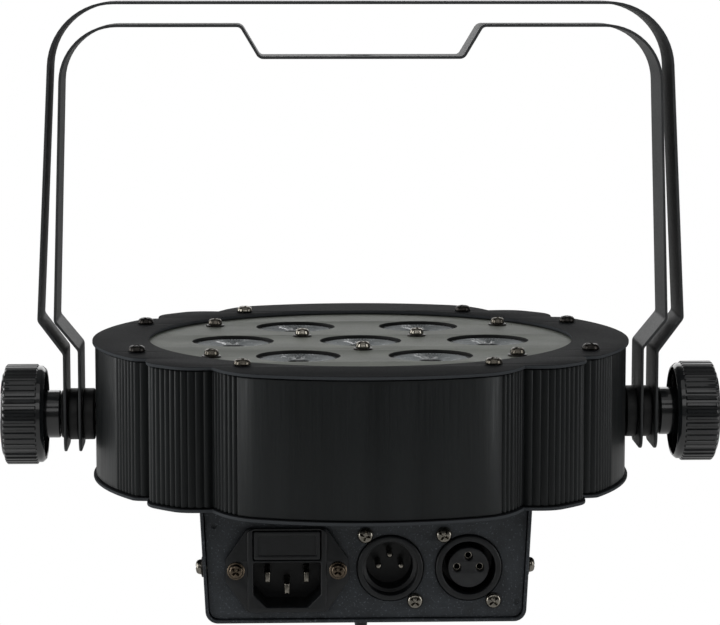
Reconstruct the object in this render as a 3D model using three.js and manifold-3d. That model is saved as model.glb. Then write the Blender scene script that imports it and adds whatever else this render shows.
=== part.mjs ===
// Flat LED par can light with a double yoke, in millimetres, +Z up.
// Origin: centre of the clamp-bolt hole, on the top face of the outer yoke.
// -Y is the side with the mains and signal connectors, +X is to its right.
import * as THREE from 'three';
import { mergeVertices } from 'three/addons/utils/BufferGeometryUtils.js';
import ManifoldModule from 'manifold-3d';

const wasm = await ManifoldModule();
wasm.setup();

// ---- Driving dimensions ----

// Clearances
const seatGap = 0.3;              // between faces that seat on each other
const boltClearance = 0.3;        // radial, bolt in its hole
const screwClearance = 0.3;       // radial, screw in its hole

// Drum and its two end plates: a lobed outline, radius by angle from +X
const sideRadius = 99;            // lobes towards the yoke pivots
const cornerRadius = 102;         // four small lobes between
const frontRadius = 104;          // lobes towards -Y and +Y
const notchRadius = 95;           // bottom of the notches between the lobes
const drumHeight = 48.3;
const drumWall = 3;
const ribDepth = 0.9;
const ribsPerQuarter = 28;
const ribBandStart = 25.5;        // degrees from +X
const ribBandEnd = 64;
const plateOverhang = 1;
const plateThickness = 1.2;
const drumTopAbovePivot = 27.2;

// Screws through the ring plate into the channels of the drum, one quarter's [radius, degrees]
const channelPlaces = [[91, 26], [87.5, 60]];
const channelRadius = 4;
const plateScrewRadius = 1.5;
const plateScrewLength = 12;

// Light engine
const openingRadius = 79;         // of the ring plate
const lensPlateRadius = 83.2;
const lensPlateThickness = 1.5;
const lensRingRadius = 47.7;
const lensHoleRadius = 15.2;
const lensRecess = 1.2;
const lensHeight = 15;
const outerPostRadius = 70.1;     // screws of the lens plate
const outerPostAngle = 38.3;
const innerPostRadius = 25;
const postRadius = 3;
const ledBoardRadius = 66;
const ledBoardThickness = 1.6;
const sinkThickness = 3;
const finHeight = 8;
const finThickness = 1.6;
const finCount = 9;
const finPitch = 13;

// Rear box
const boxTopWidth = 119;
const boxBottomWidth = 114.6;
const boxHeight = 44.1;
const boxDepth = 116.4;
const sheetThickness = 1.2;
const boxCornerRadius = 4.5;
const boxFlange = 10;
const panelInset = 1.2;
const panelTabDepth = 14;         // bent tabs behind each end panel
const sideScrewBelowTop = 25;
const sideScrewFromEnd = 8;
const sideScrewRadius = 1.5;

// Mains inlet, seen on the panel
const inletX = -28.3;
const inletBelowBoxTop = 24.7;
const bezelWidth = 28.4;
const bezelHeight = 30.4;
const bezelStep = 2.4;
const earHalfSpan = 22;
const inletScrewSpan = 36.4;
const inletBodyDepth = 27;
const socketWidth = 24;
const socketHeight = 16.2;
const socketDepth = 17;
const socketChamfer = 4.6;
const bladeSpan = 14;
const bladeStagger = 4;
const bladeHalfThickness = 1;
const bladeHalfHeight = 2;
const drawerHeight = 10.2;
const drawerWidth = 23.6;
const drawerDepth = 22;
const fuseRadius = 2.6;
const fuseLength = 20;

// Signal connectors
const maleX = 8.6;
const connectorSpacing = 28.1;    // male to female
const connectorBelowBoxTop = 24.5;
const connectorRadius = 11.8;
const connectorProud = 1;
const connectorScrewX = 8.9;
const connectorScrewZ = 12;
const connectorWall = 2;
const cupDepth = 15;
const pinCircle = 4.1;
const pinRadius = 1.2;

// Controls on the far panel
const windowWidth = 34;
const windowHeight = 13;
const buttonRadius = 3.4;
const buttonCount = 4;
const buttonPitch = 14;
const buttonTravel = 1;

// Clamp stack on each side, from the drum outwards
const innerSpacerLength = 4.2;
const middleSpacerLength = 3.9;
const spacerRadius = 9.6;
const washerLength = 1.1;
const washerRadius = 8.9;
const boltRadius = 4;
const nutBlockSize = 22;
const nutBlockDepth = 8;
const knobRadius = 18.7;
const knobRimLength = 15;
const knobNeckLength = 5.5;
const knobCapHeight = 2;
const knobFlutes = 46;
const knobBand = 2.6;             // smooth band before the flutes
const fluteDepth = 0.7;

// Yokes
const strapThickness = 1;
const strapWidth = 27;
const strapEndBelowPivot = 12.7;
const strapEndRadius = 5;
const outerYokeHeight = 153.5;    // pivot to its top face
const innerYokeHeight = 145.2;
const strapBend = 2.5;            // radius of the small bends
const dipDepth = 11.6;
const dipTopHalf = 44.2;
const dipBottomHalf = 37.3;
const outerLegSpread = 9.2;       // how far a leg steps out above the stack
const innerLegSpread = 8.7;
const outerLean = 5.9;            // how far a leg leans in again up to the corner
const innerLean = 3.5;
const clampHoleRadius = 5.5;

// Safety eye under the rear box
const eyeWireRadius = 2.25;
const eyeHeight = 16;
const eyeSpan = 24;

// ---- Geometry helpers ----

const degrees = Math.PI / 180;

function circlePoints(x, y, radius, count) {
  const points = [];
  for (let i = 0; i < count; i += 1) {
    const angle = (2 * Math.PI * i) / count;
    points.push(new THREE.Vector2(x + radius * Math.cos(angle), y + radius * Math.sin(angle)));
  }
  return points;
}

function rectanglePoints(x0, y0, x1, y1) {
  return [
    new THREE.Vector2(x0, y0),
    new THREE.Vector2(x1, y0),
    new THREE.Vector2(x1, y1),
    new THREE.Vector2(x0, y1),
  ];
}

// Corners are [x, y, radius]; each gets an arc of its radius. The ends of an open path stay sharp.
function roundedPath(corners, closed, stepsPerQuarter = 4) {
  const points = [];
  const count = corners.length;
  for (let i = 0; i < count; i += 1) {
    const [x, y, radius] = corners[i];
    const corner = new THREE.Vector2(x, y);
    const isEnd = !closed && (i === 0 || i === count - 1);
    if (isEnd || !radius) {
      points.push(corner);
      continue;
    }
    const before = corners[(i + count - 1) % count];
    const after = corners[(i + 1) % count];
    const back = new THREE.Vector2(before[0] - x, before[1] - y).normalize();
    const ahead = new THREE.Vector2(after[0] - x, after[1] - y).normalize();
    const half = Math.acos(THREE.MathUtils.clamp(back.dot(ahead), -1, 1)) / 2;
    const bisector = back.clone().add(ahead).normalize();
    const centre = corner.clone().addScaledVector(bisector, radius / Math.sin(half));
    const start = corner.clone().addScaledVector(back, radius / Math.tan(half)).sub(centre);
    const turn = Math.PI - 2 * half;
    const side = Math.sign(back.x * ahead.y - back.y * ahead.x) * -1;
    const steps = Math.max(1, Math.round((turn / (Math.PI / 2)) * stepsPerQuarter));
    for (let k = 0; k <= steps; k += 1) {
      const spoke = start.clone().rotateAround(new THREE.Vector2(), (side * turn * k) / steps);
      points.push(centre.clone().add(spoke));
    }
  }
  return points;
}

// Outline of a bent strip whose centre line is the path
function stripOutline(path, thickness) {
  const left = [];
  const right = [];
  path.forEach((point, i) => {
    const before = path[Math.max(i - 1, 0)];
    const after = path[Math.min(i + 1, path.length - 1)];
    const inward = point.clone().sub(before);
    const outward = after.clone().sub(point);
    if (inward.lengthSq() === 0) inward.copy(outward);
    if (outward.lengthSq() === 0) outward.copy(inward);
    inward.normalize();
    outward.normalize();
    const along = inward.clone().add(outward).normalize();
    const normal = new THREE.Vector2(-along.y, along.x);
    const reach = thickness / 2 / along.dot(inward);
    left.push(point.clone().addScaledVector(normal, reach));
    right.push(point.clone().addScaledVector(normal, -reach));
  });
  return left.concat(right.reverse());
}

function extrude(points, holes, length) {
  const shape = new THREE.Shape(points);
  shape.holes = holes.map((hole) => new THREE.Path(hole));
  return new THREE.ExtrudeGeometry(shape, { depth: length, bevelEnabled: false });
}

// Shape drawn in XY, standing from z0 to z1
function extrudeZ(points, holes, z0, z1) {
  return extrude(points, holes, z1 - z0).translate(0, 0, z0);
}

// Shape drawn in XZ, running from y0 to y1
function extrudeY(points, holes, y0, y1) {
  return extrude(points, holes, y1 - y0).rotateX(Math.PI / 2).translate(0, y1, 0);
}

// Shape drawn in YZ, running from x0 to x1
function extrudeX(points, holes, x0, x1) {
  const turn = new THREE.Matrix4().makeBasis(
    new THREE.Vector3(0, 1, 0),
    new THREE.Vector3(0, 0, 1),
    new THREE.Vector3(1, 0, 0),
  );
  return extrude(points, holes, x1 - x0).applyMatrix4(turn).translate(x0, 0, 0);
}

// Profile points are [radius, height]; it is turned about Z, Y or X
function lathe(profile, axis, segments) {
  const points = profile.map(([radius, height]) => new THREE.Vector2(radius, height));
  const geometry = new THREE.LatheGeometry(points, segments);
  if (axis === 'z') geometry.rotateX(Math.PI / 2);
  if (axis === 'x') geometry.rotateZ(-Math.PI / 2);
  return geometry;
}

function cylinder(axis, radius, from, to, segments) {
  return lathe([[0, from], [radius, from], [radius, to], [0, to]], axis, segments);
}

function box(x0, x1, y0, y1, z0, z1) {
  const geometry = new THREE.BoxGeometry(x1 - x0, y1 - y0, z1 - z0);
  return geometry.translate((x0 + x1) / 2, (y0 + y1) / 2, (z0 + z1) / 2);
}

// Box along an axis, centred on (u, v) across it: (x, y) along Z, (x, z) along Y, (y, z) along X
function bar(axis, u, v, halfU, halfV, from, to) {
  if (axis === 'z') return box(u - halfU, u + halfU, v - halfV, v + halfV, from, to);
  if (axis === 'y') return box(u - halfU, u + halfU, from, to, v - halfV, v + halfV);
  return box(from, to, u - halfU, u + halfU, v - halfV, v + halfV);
}

// Shared corners merged, slivers dropped and faces turned outwards
function closedMesh(geometry) {
  const bare = geometry.clone();
  bare.deleteAttribute('normal');
  bare.deleteAttribute('uv');
  const merged = mergeVertices(bare, 1e-4);
  const position = merged.attributes.position;
  const index = merged.index.array;
  const kept = [];
  let volume = 0;
  const [a, b, c] = [new THREE.Vector3(), new THREE.Vector3(), new THREE.Vector3()];
  for (let i = 0; i < index.length; i += 3) {
    const [p, q, r] = [index[i], index[i + 1], index[i + 2]];
    if (p === q || q === r || r === p) continue;
    kept.push(p, q, r);
    a.fromBufferAttribute(position, p);
    b.fromBufferAttribute(position, q);
    c.fromBufferAttribute(position, r);
    volume += a.dot(b.cross(c));
  }
  if (volume < 0) kept.reverse();
  merged.setIndex(kept);
  return merged;
}

function toSolid(geometry) {
  const mesh = closedMesh(geometry);
  return new wasm.Manifold(new wasm.Mesh({
    numProp: 3,
    vertProperties: Float32Array.from(mesh.attributes.position.array),
    triVerts: Uint32Array.from(mesh.index.array),
  }));
}

// One geometry from a base, the pieces joined to it and the pieces cut from it
function combine(base, joined, cut) {
  let solid = toSolid(base);
  for (const piece of joined) solid = solid.add(toSolid(piece));
  for (const piece of cut) solid = solid.subtract(toSolid(piece));
  const mesh = solid.getMesh();
  const geometry = new THREE.BufferGeometry();
  geometry.setAttribute('position', new THREE.BufferAttribute(Float32Array.from(mesh.vertProperties), 3));
  geometry.setIndex(new THREE.BufferAttribute(Uint32Array.from(mesh.triVerts), 1));
  return geometry;
}

// ---- Finishes ----

function finish(color, roughness, metalness) {
  return new THREE.MeshStandardMaterial({ color, roughness, metalness });
}

const anodised = finish('#26282a', 0.45, 0.6);
const paintedPlate = finish('#2b2c2e', 0.5, 0.3);
const greyPlate = finish('#62645f', 0.6, 0.2);
const powderCoat = finish('#3a3d3d', 0.6, 0.2);
const panelPaint = finish('#232527', 0.6, 0.2);
const blackPlastic = finish('#161718', 0.35, 0);
const matteRubber = finish('#101011', 0.8, 0);
const nickel = finish('#b9b9b4', 0.25, 1);
const blackScrew = finish('#2a2a2a', 0.35, 0.8);
const clearLens = finish('#e8ecee', 0.05, 0);
const smokedWindow = finish('#2a0d0d', 0.15, 0);
const glassTube = finish('#dfe6e6', 0.05, 0);
const aluminium = finish('#a9abad', 0.4, 1);
const whiteMask = finish('#e6e6e2', 0.5, 0);
const greenMask = finish('#1e5a38', 0.4, 0);
const steelWire = finish('#303233', 0.45, 0.7);

const model = new THREE.Group();
const head = new THREE.Group();
head.position.z = -outerYokeHeight;
model.add(head);

function addPart(parent, name, geometry, material) {
  const mesh = new THREE.Mesh(closedMesh(geometry), material);
  mesh.name = name;
  parent.add(mesh);
  return mesh;
}

// ---- Heights in the head, measured from the pivot axis ----

const drumTop = drumTopAbovePivot;
const drumBottom = drumTop - drumHeight;
const ringBottom = drumTop + seatGap;
const ringTop = ringBottom + plateThickness;
const rearPlateTop = drumBottom - seatGap;
const rearPlateBottom = rearPlateTop - plateThickness;
const boxTop = rearPlateBottom - seatGap;
const boxBottom = boxTop - boxHeight;
const lensPlateBottom = drumTop - lensPlateThickness;
const lensTop = drumTop - lensRecess;
const lensBottom = lensTop - lensHeight;
const ledHeight = 1.5;
const ledBoardTop = lensBottom - seatGap - ledHeight;
const sinkTop = ledBoardTop - ledBoardThickness - seatGap;

// ---- Lobed outline ----

const lobes = [
  { centre: 0, half: 36.3, top: sideRadius, rise: 3 },
  { centre: 45.9, half: 9.6, top: cornerRadius, rise: 7 },
  { centre: 90, half: 34.5, top: frontRadius, rise: 12.5 },
];

function lobedRadius(angle) {
  const around = ((angle % 180) + 180) % 180;
  const folded = around > 90 ? 180 - around : around;
  let radius = notchRadius;
  for (const lobe of lobes) {
    const inside = (lobe.half - Math.abs(folded - lobe.centre)) / lobe.rise;
    const ease = Math.sin((Math.PI / 2) * THREE.MathUtils.clamp(inside, 0, 1));
    radius = Math.max(radius, notchRadius + (lobe.top - notchRadius) * ease);
  }
  return radius;
}

// One quarter's angles, closer together towards the ends of each lobe
function quarterAngles(countPerLobe) {
  const angles = [];
  for (const lobe of lobes) {
    const from = Math.max(lobe.centre - lobe.half, lobe.centre === 0 ? -lobe.half : 0);
    const span = 2 * lobe.half;
    const count = Math.round(countPerLobe * (lobe.half > 20 ? 2 : 1));
    for (let i = 0; i < count; i += 1) {
      const angle = from + span * (0.5 - 0.5 * Math.cos((Math.PI * i) / count));
      if (angle > -0.01 && angle < 90) angles.push(Math.max(angle, 0));
    }
  }
  return angles;
}

// The quarter's angles mirrored into the full turn
function fullTurn(quarter) {
  const half = quarter.concat(quarter.map((angle) => 180 - angle));
  const all = new Set();
  for (const angle of half.concat([90])) {
    all.add(((angle % 360) + 360) % 360);
    all.add((((angle + 180) % 360) + 360) % 360);
  }
  return [...all].sort((p, q) => p - q).filter((angle, i, list) => i === 0 || angle - list[i - 1] > 0.05);
}

function lobedOutline(offset, angles) {
  return angles.map((angle) => {
    const radius = lobedRadius(angle) + offset;
    return new THREE.Vector2(radius * Math.cos(angle * degrees), radius * Math.sin(angle * degrees));
  });
}

// Crest, flank and groove of each rib, and wider steps where the wall is smooth
function ribbedOutline() {
  const pitch = (ribBandEnd - ribBandStart) / ribsPerQuarter;
  const quarter = [];
  const smoothStep = 4;
  for (let angle = 0; angle < ribBandStart; angle += smoothStep) quarter.push([angle, 0]);
  for (let i = 0; i < ribsPerQuarter; i += 1) {
    quarter.push([ribBandStart + i * pitch, 0]);
    quarter.push([ribBandStart + (i + 0.5) * pitch, ribDepth]);
  }
  for (let angle = ribBandEnd; angle < 90; angle += smoothStep) quarter.push([angle, 0]);
  quarter.push([90, 0]);
  const spokes = [];
  for (const [angle, depth] of quarter) {
    spokes.push([angle, depth], [180 - angle, depth], [180 + angle, depth], [360 - angle, depth]);
  }
  const turned = spokes.map(([angle, depth]) => [((angle % 360) + 360) % 360, depth]);
  turned.sort((p, q) => p[0] - q[0]);
  const outline = turned.filter((spoke, i) => i === 0 || spoke[0] - turned[i - 1][0] > 0.05);
  return outline.map(([angle, depth]) => {
    const radius = lobedRadius(angle) - depth;
    return new THREE.Vector2(radius * Math.cos(angle * degrees), radius * Math.sin(angle * degrees));
  });
}

const plateOutline = lobedOutline(plateOverhang, fullTurn(quarterAngles(9)));
const innerOutline = lobedOutline(-drumWall, fullTurn(quarterAngles(7)));

// All eight channel places as [x, y, degrees]
const channels = [];
for (const [radius, angle] of channelPlaces) {
  for (const turned of [angle, 180 - angle, 180 + angle, 360 - angle]) {
    channels.push([radius * Math.cos(turned * degrees), radius * Math.sin(turned * degrees), turned]);
  }
}

// ---- Drum, end plates and their screws ----

function makeDrum() {
  const shell = extrudeZ(ribbedOutline(), [innerOutline], drumBottom, drumTop);
  const joined = [];
  const cut = [];
  channels.forEach(([x, y, turned]) => {
    joined.push(extrudeZ(circlePoints(x, y, channelRadius, 12), [], drumBottom, drumTop));
    const reach = lobedRadius(turned) - drumWall / 2 - Math.hypot(x, y);
    const web = new THREE.BoxGeometry(reach, drumWall, drumHeight);
    web.translate(reach / 2, 0, drumBottom + drumHeight / 2);
    web.rotateZ(turned * degrees);
    joined.push(web.translate(x, y, 0));
    const bore = circlePoints(x, y, plateScrewRadius + screwClearance, 8);
    cut.push(extrudeZ(bore, [], drumBottom - 1, drumTop + 1));
  });
  for (const side of [-1, 1]) {
    const from = side < 0 ? -sideRadius - 1 : sideRadius - drumWall - 2;
    cut.push(cylinder('x', boltRadius + boltClearance, from, from + drumWall + 3, 20));
  }
  addPart(head, 'drum_shell', combine(shell, joined, cut), anodised);
}

function makeEndPlates() {
  const screwHoles = channels.map(([x, y]) => circlePoints(x, y, plateScrewRadius + screwClearance, 8));
  const opening = circlePoints(0, 0, openingRadius, 60);
  const ring = extrudeZ(plateOutline, [opening, ...screwHoles], ringBottom, ringTop);
  addPart(head, 'front_ring_plate', ring, paintedPlate);
  const wireHalf = boxBottomWidth / 3;
  const wireWay = rectanglePoints(-wireHalf, -wireHalf, wireHalf, wireHalf);
  const rear = extrudeZ(plateOutline, [wireWay, ...screwHoles], rearPlateBottom, rearPlateTop);
  addPart(head, 'rear_plate', rear, paintedPlate);
}

// Pan head with a washer face, on its shank; the head seats at height 0 and points up
function screwProfile(shankRadius, shankLength) {
  const headRadius = shankRadius * 2;
  const washerFace = headRadius * 1.1;
  return [
    [0, -shankLength],
    [shankRadius, -shankLength],
    [shankRadius, 0],
    [washerFace, 0],
    [washerFace, 0.5],
    [headRadius * 0.85, 1.7],
    [0, 2.2],
  ];
}

function makePlateScrews() {
  channels.forEach(([x, y], i) => {
    const screw = lathe(screwProfile(plateScrewRadius, plateScrewLength), 'z', 8);
    const mesh = addPart(head, `ring_screw_${i + 1}`, screw, i % 3 === 0 ? nickel : blackScrew);
    mesh.position.set(x, y, ringTop + seatGap);
  });
}

// ---- Light engine ----

const lensPlaces = [[0, 0]];
for (let i = 0; i < 6; i += 1) {
  const angle = i * 60 * degrees;
  lensPlaces.push([lensRingRadius * Math.cos(angle), lensRingRadius * Math.sin(angle)]);
}

const postPlaces = [];
for (const angle of [outerPostAngle, 180 - outerPostAngle, 180 + outerPostAngle, 360 - outerPostAngle]) {
  const turn = angle * degrees;
  postPlaces.push([outerPostRadius * Math.cos(turn), outerPostRadius * Math.sin(turn)]);
}
for (const angle of [30, 150, 270]) {
  const turn = angle * degrees;
  postPlaces.push([innerPostRadius * Math.cos(turn), innerPostRadius * Math.sin(turn)]);
}

function makeLensPlate() {
  const holes = lensPlaces.map(([x, y]) => circlePoints(x, y, lensHoleRadius, 24));
  const rim = circlePoints(0, 0, lensPlateRadius, 60);
  addPart(head, 'lens_plate', extrudeZ(rim, holes, lensPlateBottom, drumTop), greyPlate);
}

function makeLenses() {
  const bodyRadius = lensHoleRadius - seatGap;
  const flangeRadius = lensHoleRadius + 1.3;
  const flangeTop = lensRecess - lensPlateThickness - seatGap;
  const flangeBottom = flangeTop - 1.5;
  const profile = [
    [0, -lensHeight],
    [5.5, -lensHeight],
    [bodyRadius - 1, flangeBottom],
    [flangeRadius, flangeBottom],
    [flangeRadius, flangeTop],
    [bodyRadius, flangeTop],
    [bodyRadius, 0],
    [0, 0],
  ];
  lensPlaces.forEach(([x, y], i) => {
    const mesh = addPart(head, `lens_${i + 1}`, lathe(profile, 'z', 14), clearLens);
    mesh.position.set(x, y, lensTop);
  });
}

function makeLedBoard() {
  const emitterHalf = 2.6;
  const bottom = ledBoardTop - ledBoardThickness;
  const holes = postPlaces.slice(4).map(([x, y]) => circlePoints(x, y, postRadius + seatGap, 10));
  const board = extrudeZ(circlePoints(0, 0, ledBoardRadius, 40), holes, bottom, ledBoardTop);
  const emitters = lensPlaces.map(([x, y]) => (
    bar('z', x, y, emitterHalf, emitterHalf, bottom + 0.5, ledBoardTop + ledHeight)
  ));
  addPart(head, 'led_board', combine(board, emitters, []), whiteMask);
}

function makeHeatSink() {
  const bottom = sinkTop - sinkThickness;
  const plate = extrudeZ(circlePoints(0, 0, lensPlateRadius, 48), [], bottom, sinkTop);
  const joined = [];
  for (let i = 0; i < finCount; i += 1) {
    const x = (i - (finCount - 1) / 2) * finPitch;
    const reach = Math.sqrt((lensPlateRadius - 4) ** 2 - x ** 2);
    joined.push(bar('z', x, 0, finThickness / 2, reach, bottom - finHeight, bottom + 1));
  }
  for (const [x, y] of postPlaces) {
    joined.push(extrudeZ(circlePoints(x, y, postRadius, 10), [], bottom + 1, lensPlateBottom - seatGap));
  }
  addPart(head, 'heat_sink', combine(plate, joined, []), aluminium);
}

// ---- Rear box ----

// Half width of the box's outside at a height
function boxHalfWidth(height) {
  const share = (height - boxBottom) / (boxTop - boxBottom);
  return (boxBottomWidth + (boxTopWidth - boxBottomWidth) * share) / 2;
}

const boxFront = -boxDepth / 2;
const panelFace = boxFront + panelInset;
const panelBack = panelFace + sheetThickness;
const sideScrewHeight = boxTop - sideScrewBelowTop;
const sideScrewY = boxFront + sideScrewFromEnd;

// Bore through both side walls for the screws that hold an end panel's tabs
function sideScrewBore(y) {
  const bore = cylinder('x', sideScrewRadius + screwClearance, -boxTopWidth, boxTopWidth, 10);
  return bore.translate(0, y, sideScrewHeight);
}

function makeRearCover() {
  const half = sheetThickness / 2;
  const wallTop = boxHalfWidth(boxTop) - half;
  const wallBottom = boxHalfWidth(boxBottom) - half;
  const bend = boxCornerRadius - half;
  const path = roundedPath([
    [-wallTop + boxFlange, boxTop - half, 0],
    [-wallTop, boxTop - half, half * 1.5],
    [-wallBottom, boxBottom + half, bend],
    [wallBottom, boxBottom + half, bend],
    [wallTop, boxTop - half, half * 1.5],
    [wallTop - boxFlange, boxTop - half, 0],
  ], false);
  const cover = extrudeY(stripOutline(path, sheetThickness), [], boxFront, -boxFront);
  const cut = [];
  for (const y of [sideScrewY, -sideScrewY]) {
    cut.push(sideScrewBore(y));
  }
  addPart(head, 'rear_cover', combine(cover, [], cut), panelPaint);
}

// Sheet that closes one end of the box, with a bent tab behind each side; facing -Y
function makeEndPanel(name, holes) {
  const clearance = sheetThickness + seatGap;
  const top = boxTop - clearance;
  const bottom = boxBottom + clearance;
  const halfTop = boxHalfWidth(top) - clearance;
  const halfBottom = boxHalfWidth(bottom) - clearance;
  const outline = roundedPath([
    [-halfTop, top, 0],
    [-halfBottom, bottom, boxCornerRadius - 1],
    [halfBottom, bottom, boxCornerRadius - 1],
    [halfTop, top, 0],
  ], true, 3);
  const panel = extrudeY(outline, holes, panelFace, panelBack);
  const joined = [];
  for (const side of [-1, 1]) {
    const low = bottom + 6;
    const lowHalf = boxHalfWidth(low) - clearance;
    const tab = roundedPath([
      [side * lowHalf, low, 0],
      [side * halfTop, top, 0],
      [side * (halfTop - sheetThickness), top, 0],
      [side * (lowHalf - sheetThickness), low, 0],
    ], true);
    joined.push(extrudeY(side < 0 ? tab : tab.reverse(), [], panelFace, panelFace + panelTabDepth));
  }
  return addPart(head, name, combine(panel, joined, [sideScrewBore(sideScrewY)]), panelPaint);
}

function makeSideScrews() {
  for (const side of [-1, 1]) {
    const washerFace = sideScrewRadius * 2.5;
    const profile = [
      [0, -7],
      [sideScrewRadius, -7],
      [sideScrewRadius, 0],
      [washerFace, 0],
      [washerFace, 0.8],
      [washerFace * 0.8, 0.9],
      [washerFace * 0.7, 2.4],
      [0, 2.8],
    ];
    const screw = lathe(profile, 'x', 8);
    if (side < 0) screw.rotateZ(Math.PI);
    const mesh = addPart(head, side < 0 ? 'cover_screw_left' : 'cover_screw_right', screw, nickel);
    mesh.position.set(side * (boxHalfWidth(sideScrewHeight) + seatGap), sideScrewY, sideScrewHeight);
  }
}

// ---- Mains inlet ----

const inletZ = boxTop - inletBelowBoxTop;
const inletFace = panelFace - seatGap - bezelStep;
const socketLow = inletZ - bezelHeight / 2 + 1.9;
const socketHigh = socketLow + socketHeight;
const drawerLow = socketHigh + 1.2;
const drawerHigh = drawerLow + drawerHeight;
const fuseY = inletFace + drawerDepth - 7;
const inletBodyWidth = bezelWidth - 2;
const inletBodyHeight = bezelHeight - 2;

function inletCutOut() {
  const halfWidth = inletBodyWidth / 2 + seatGap;
  const halfHeight = inletBodyHeight / 2 + seatGap;
  return rectanglePoints(inletX - halfWidth, inletZ - halfHeight, inletX + halfWidth, inletZ + halfHeight);
}

function makeInlet() {
  const halfWidth = bezelWidth / 2;
  const halfHeight = bezelHeight / 2;
  const bezel = roundedPath([
    [inletX - halfWidth, inletZ - halfHeight, 2],
    [inletX + halfWidth, inletZ - halfHeight, 2],
    [inletX + halfWidth, inletZ + halfHeight, 2],
    [inletX - halfWidth, inletZ + halfHeight, 2],
  ], true, 2);
  const flange = roundedPath([
    [inletX - earHalfSpan, inletZ - 4, 2],
    [inletX - halfWidth, inletZ - halfHeight, 2],
    [inletX + halfWidth, inletZ - halfHeight, 2],
    [inletX + earHalfSpan, inletZ - 4, 2],
    [inletX + earHalfSpan, inletZ + 4, 2],
    [inletX + halfWidth, inletZ + halfHeight, 2],
    [inletX - halfWidth, inletZ + halfHeight, 2],
    [inletX - earHalfSpan, inletZ + 4, 2],
  ], true, 2);
  const ears = extrudeY(flange, [], panelFace - seatGap - 1.8, panelFace - seatGap);
  const back = panelFace + inletBodyDepth;
  const body = box(
    inletX - inletBodyWidth / 2,
    inletX + inletBodyWidth / 2,
    panelFace - seatGap - 0.5,
    back,
    inletZ - inletBodyHeight / 2,
    inletZ + inletBodyHeight / 2,
  );
  const socket = roundedPath([
    [inletX - socketWidth / 2 + socketChamfer, socketLow, 0],
    [inletX + socketWidth / 2 - socketChamfer, socketLow, 0],
    [inletX + socketWidth / 2, socketLow + socketChamfer, 0],
    [inletX + socketWidth / 2, socketHigh, 0],
    [inletX - socketWidth / 2, socketHigh, 0],
    [inletX - socketWidth / 2, socketLow + socketChamfer, 0],
  ], true);
  const cut = [extrudeY(socket, [], inletFace - 1, inletFace + socketDepth)];
  cut.push(box(
    inletX - drawerWidth / 2 - seatGap,
    inletX + drawerWidth / 2 + seatGap,
    inletFace - 1,
    inletFace + drawerDepth + 1,
    drawerLow - seatGap,
    drawerHigh + seatGap,
  ));
  for (const [x, z] of bladePlaces()) {
    const halfX = bladeHalfThickness + seatGap;
    const halfZ = bladeHalfHeight + seatGap;
    cut.push(bar('y', x, z, halfX, halfZ, inletFace + 2, back + 1));
  }
  for (const side of [-1, 1]) {
    const x = inletX + (side * inletScrewSpan) / 2;
    const bore = cylinder('y', sideScrewRadius + screwClearance, panelFace - 5, panelFace + 1, 8);
    cut.push(bore.translate(x, 0, inletZ));
  }
  const joined = [extrudeY(bezel, [], inletFace, panelFace - seatGap), body];
  addPart(head, 'mains_inlet', combine(ears, joined, cut), blackPlastic);
}

function bladePlaces() {
  const middle = (socketLow + socketHigh) / 2;
  return [
    [inletX - bladeSpan / 2, middle + bladeStagger / 2],
    [inletX + bladeSpan / 2, middle + bladeStagger / 2],
    [inletX, middle - bladeStagger / 2],
  ];
}

function makeBlades() {
  const names = ['blade_left', 'blade_right', 'blade_earth'];
  bladePlaces().forEach(([x, z], i) => {
    const tip = inletFace + (i === 2 ? 3 : 4);
    const blade = bar('y', x, z, bladeHalfThickness, bladeHalfHeight, tip, panelFace + inletBodyDepth + 6);
    addPart(head, names[i], blade, nickel);
  });
}

function makeFuseDrawer() {
  const x0 = inletX - drawerWidth / 2;
  const x1 = inletX + drawerWidth / 2;
  const front = box(x0, x1, inletFace - 0.4, inletFace + 2.4, drawerLow, drawerHigh);
  const back = inletFace + drawerDepth;
  const body = box(x0 + 0.6, x1 - 0.6, inletFace + 2, back, drawerLow + 0.4, drawerHigh - 0.4);
  const troughHalf = fuseLength / 2 + seatGap;
  const troughLow = drawerLow + 2;
  const trough = box(
    inletX - troughHalf,
    inletX + troughHalf,
    fuseY - fuseRadius - seatGap,
    fuseY + fuseRadius + seatGap,
    troughLow,
    drawerHigh + 1,
  );
  addPart(head, 'fuse_drawer', combine(front, [body], [trough]), blackPlastic);
  const tube = cylinder('x', fuseRadius, inletX - fuseLength / 2, inletX + fuseLength / 2, 14);
  addPart(head, 'fuse', tube.translate(0, fuseY, troughLow + seatGap + fuseRadius), glassTube);
}

// ---- Signal connectors ----

const connectorZ = boxTop - connectorBelowBoxTop;
const connectorFace = panelFace - connectorProud;
const femaleX = maleX + connectorSpacing;
const cupRadius = connectorRadius - connectorWall;
const contactPlaces = [[-pinCircle, 0], [pinCircle, 0], [0, pinCircle]];

function connectorHoles(x) {
  const holes = [circlePoints(x, connectorZ, connectorRadius + seatGap, 28)];
  for (const side of [-1, 1]) {
    const place = [x + side * connectorScrewX, connectorZ - side * connectorScrewZ];
    holes.push(circlePoints(place[0], place[1], sideScrewRadius + screwClearance, 8));
  }
  return holes;
}

function connectorBase(x) {
  const flangeFront = panelBack + seatGap;
  const halfWidth = connectorRadius + 1.2;
  const halfHeight = connectorScrewZ + 3.5;
  const outline = roundedPath([
    [x - halfWidth, connectorZ - halfHeight, 3],
    [x + halfWidth, connectorZ - halfHeight, 3],
    [x + halfWidth, connectorZ + halfHeight, 3],
    [x - halfWidth, connectorZ + halfHeight, 3],
  ], true, 2);
  const flange = extrudeY(outline, [], flangeFront, flangeFront + 2.4);
  const barrel = cylinder('y', connectorRadius, connectorFace, connectorFace + cupDepth + 5, 20);
  return [flange, barrel.translate(x, 0, connectorZ)];
}

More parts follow.
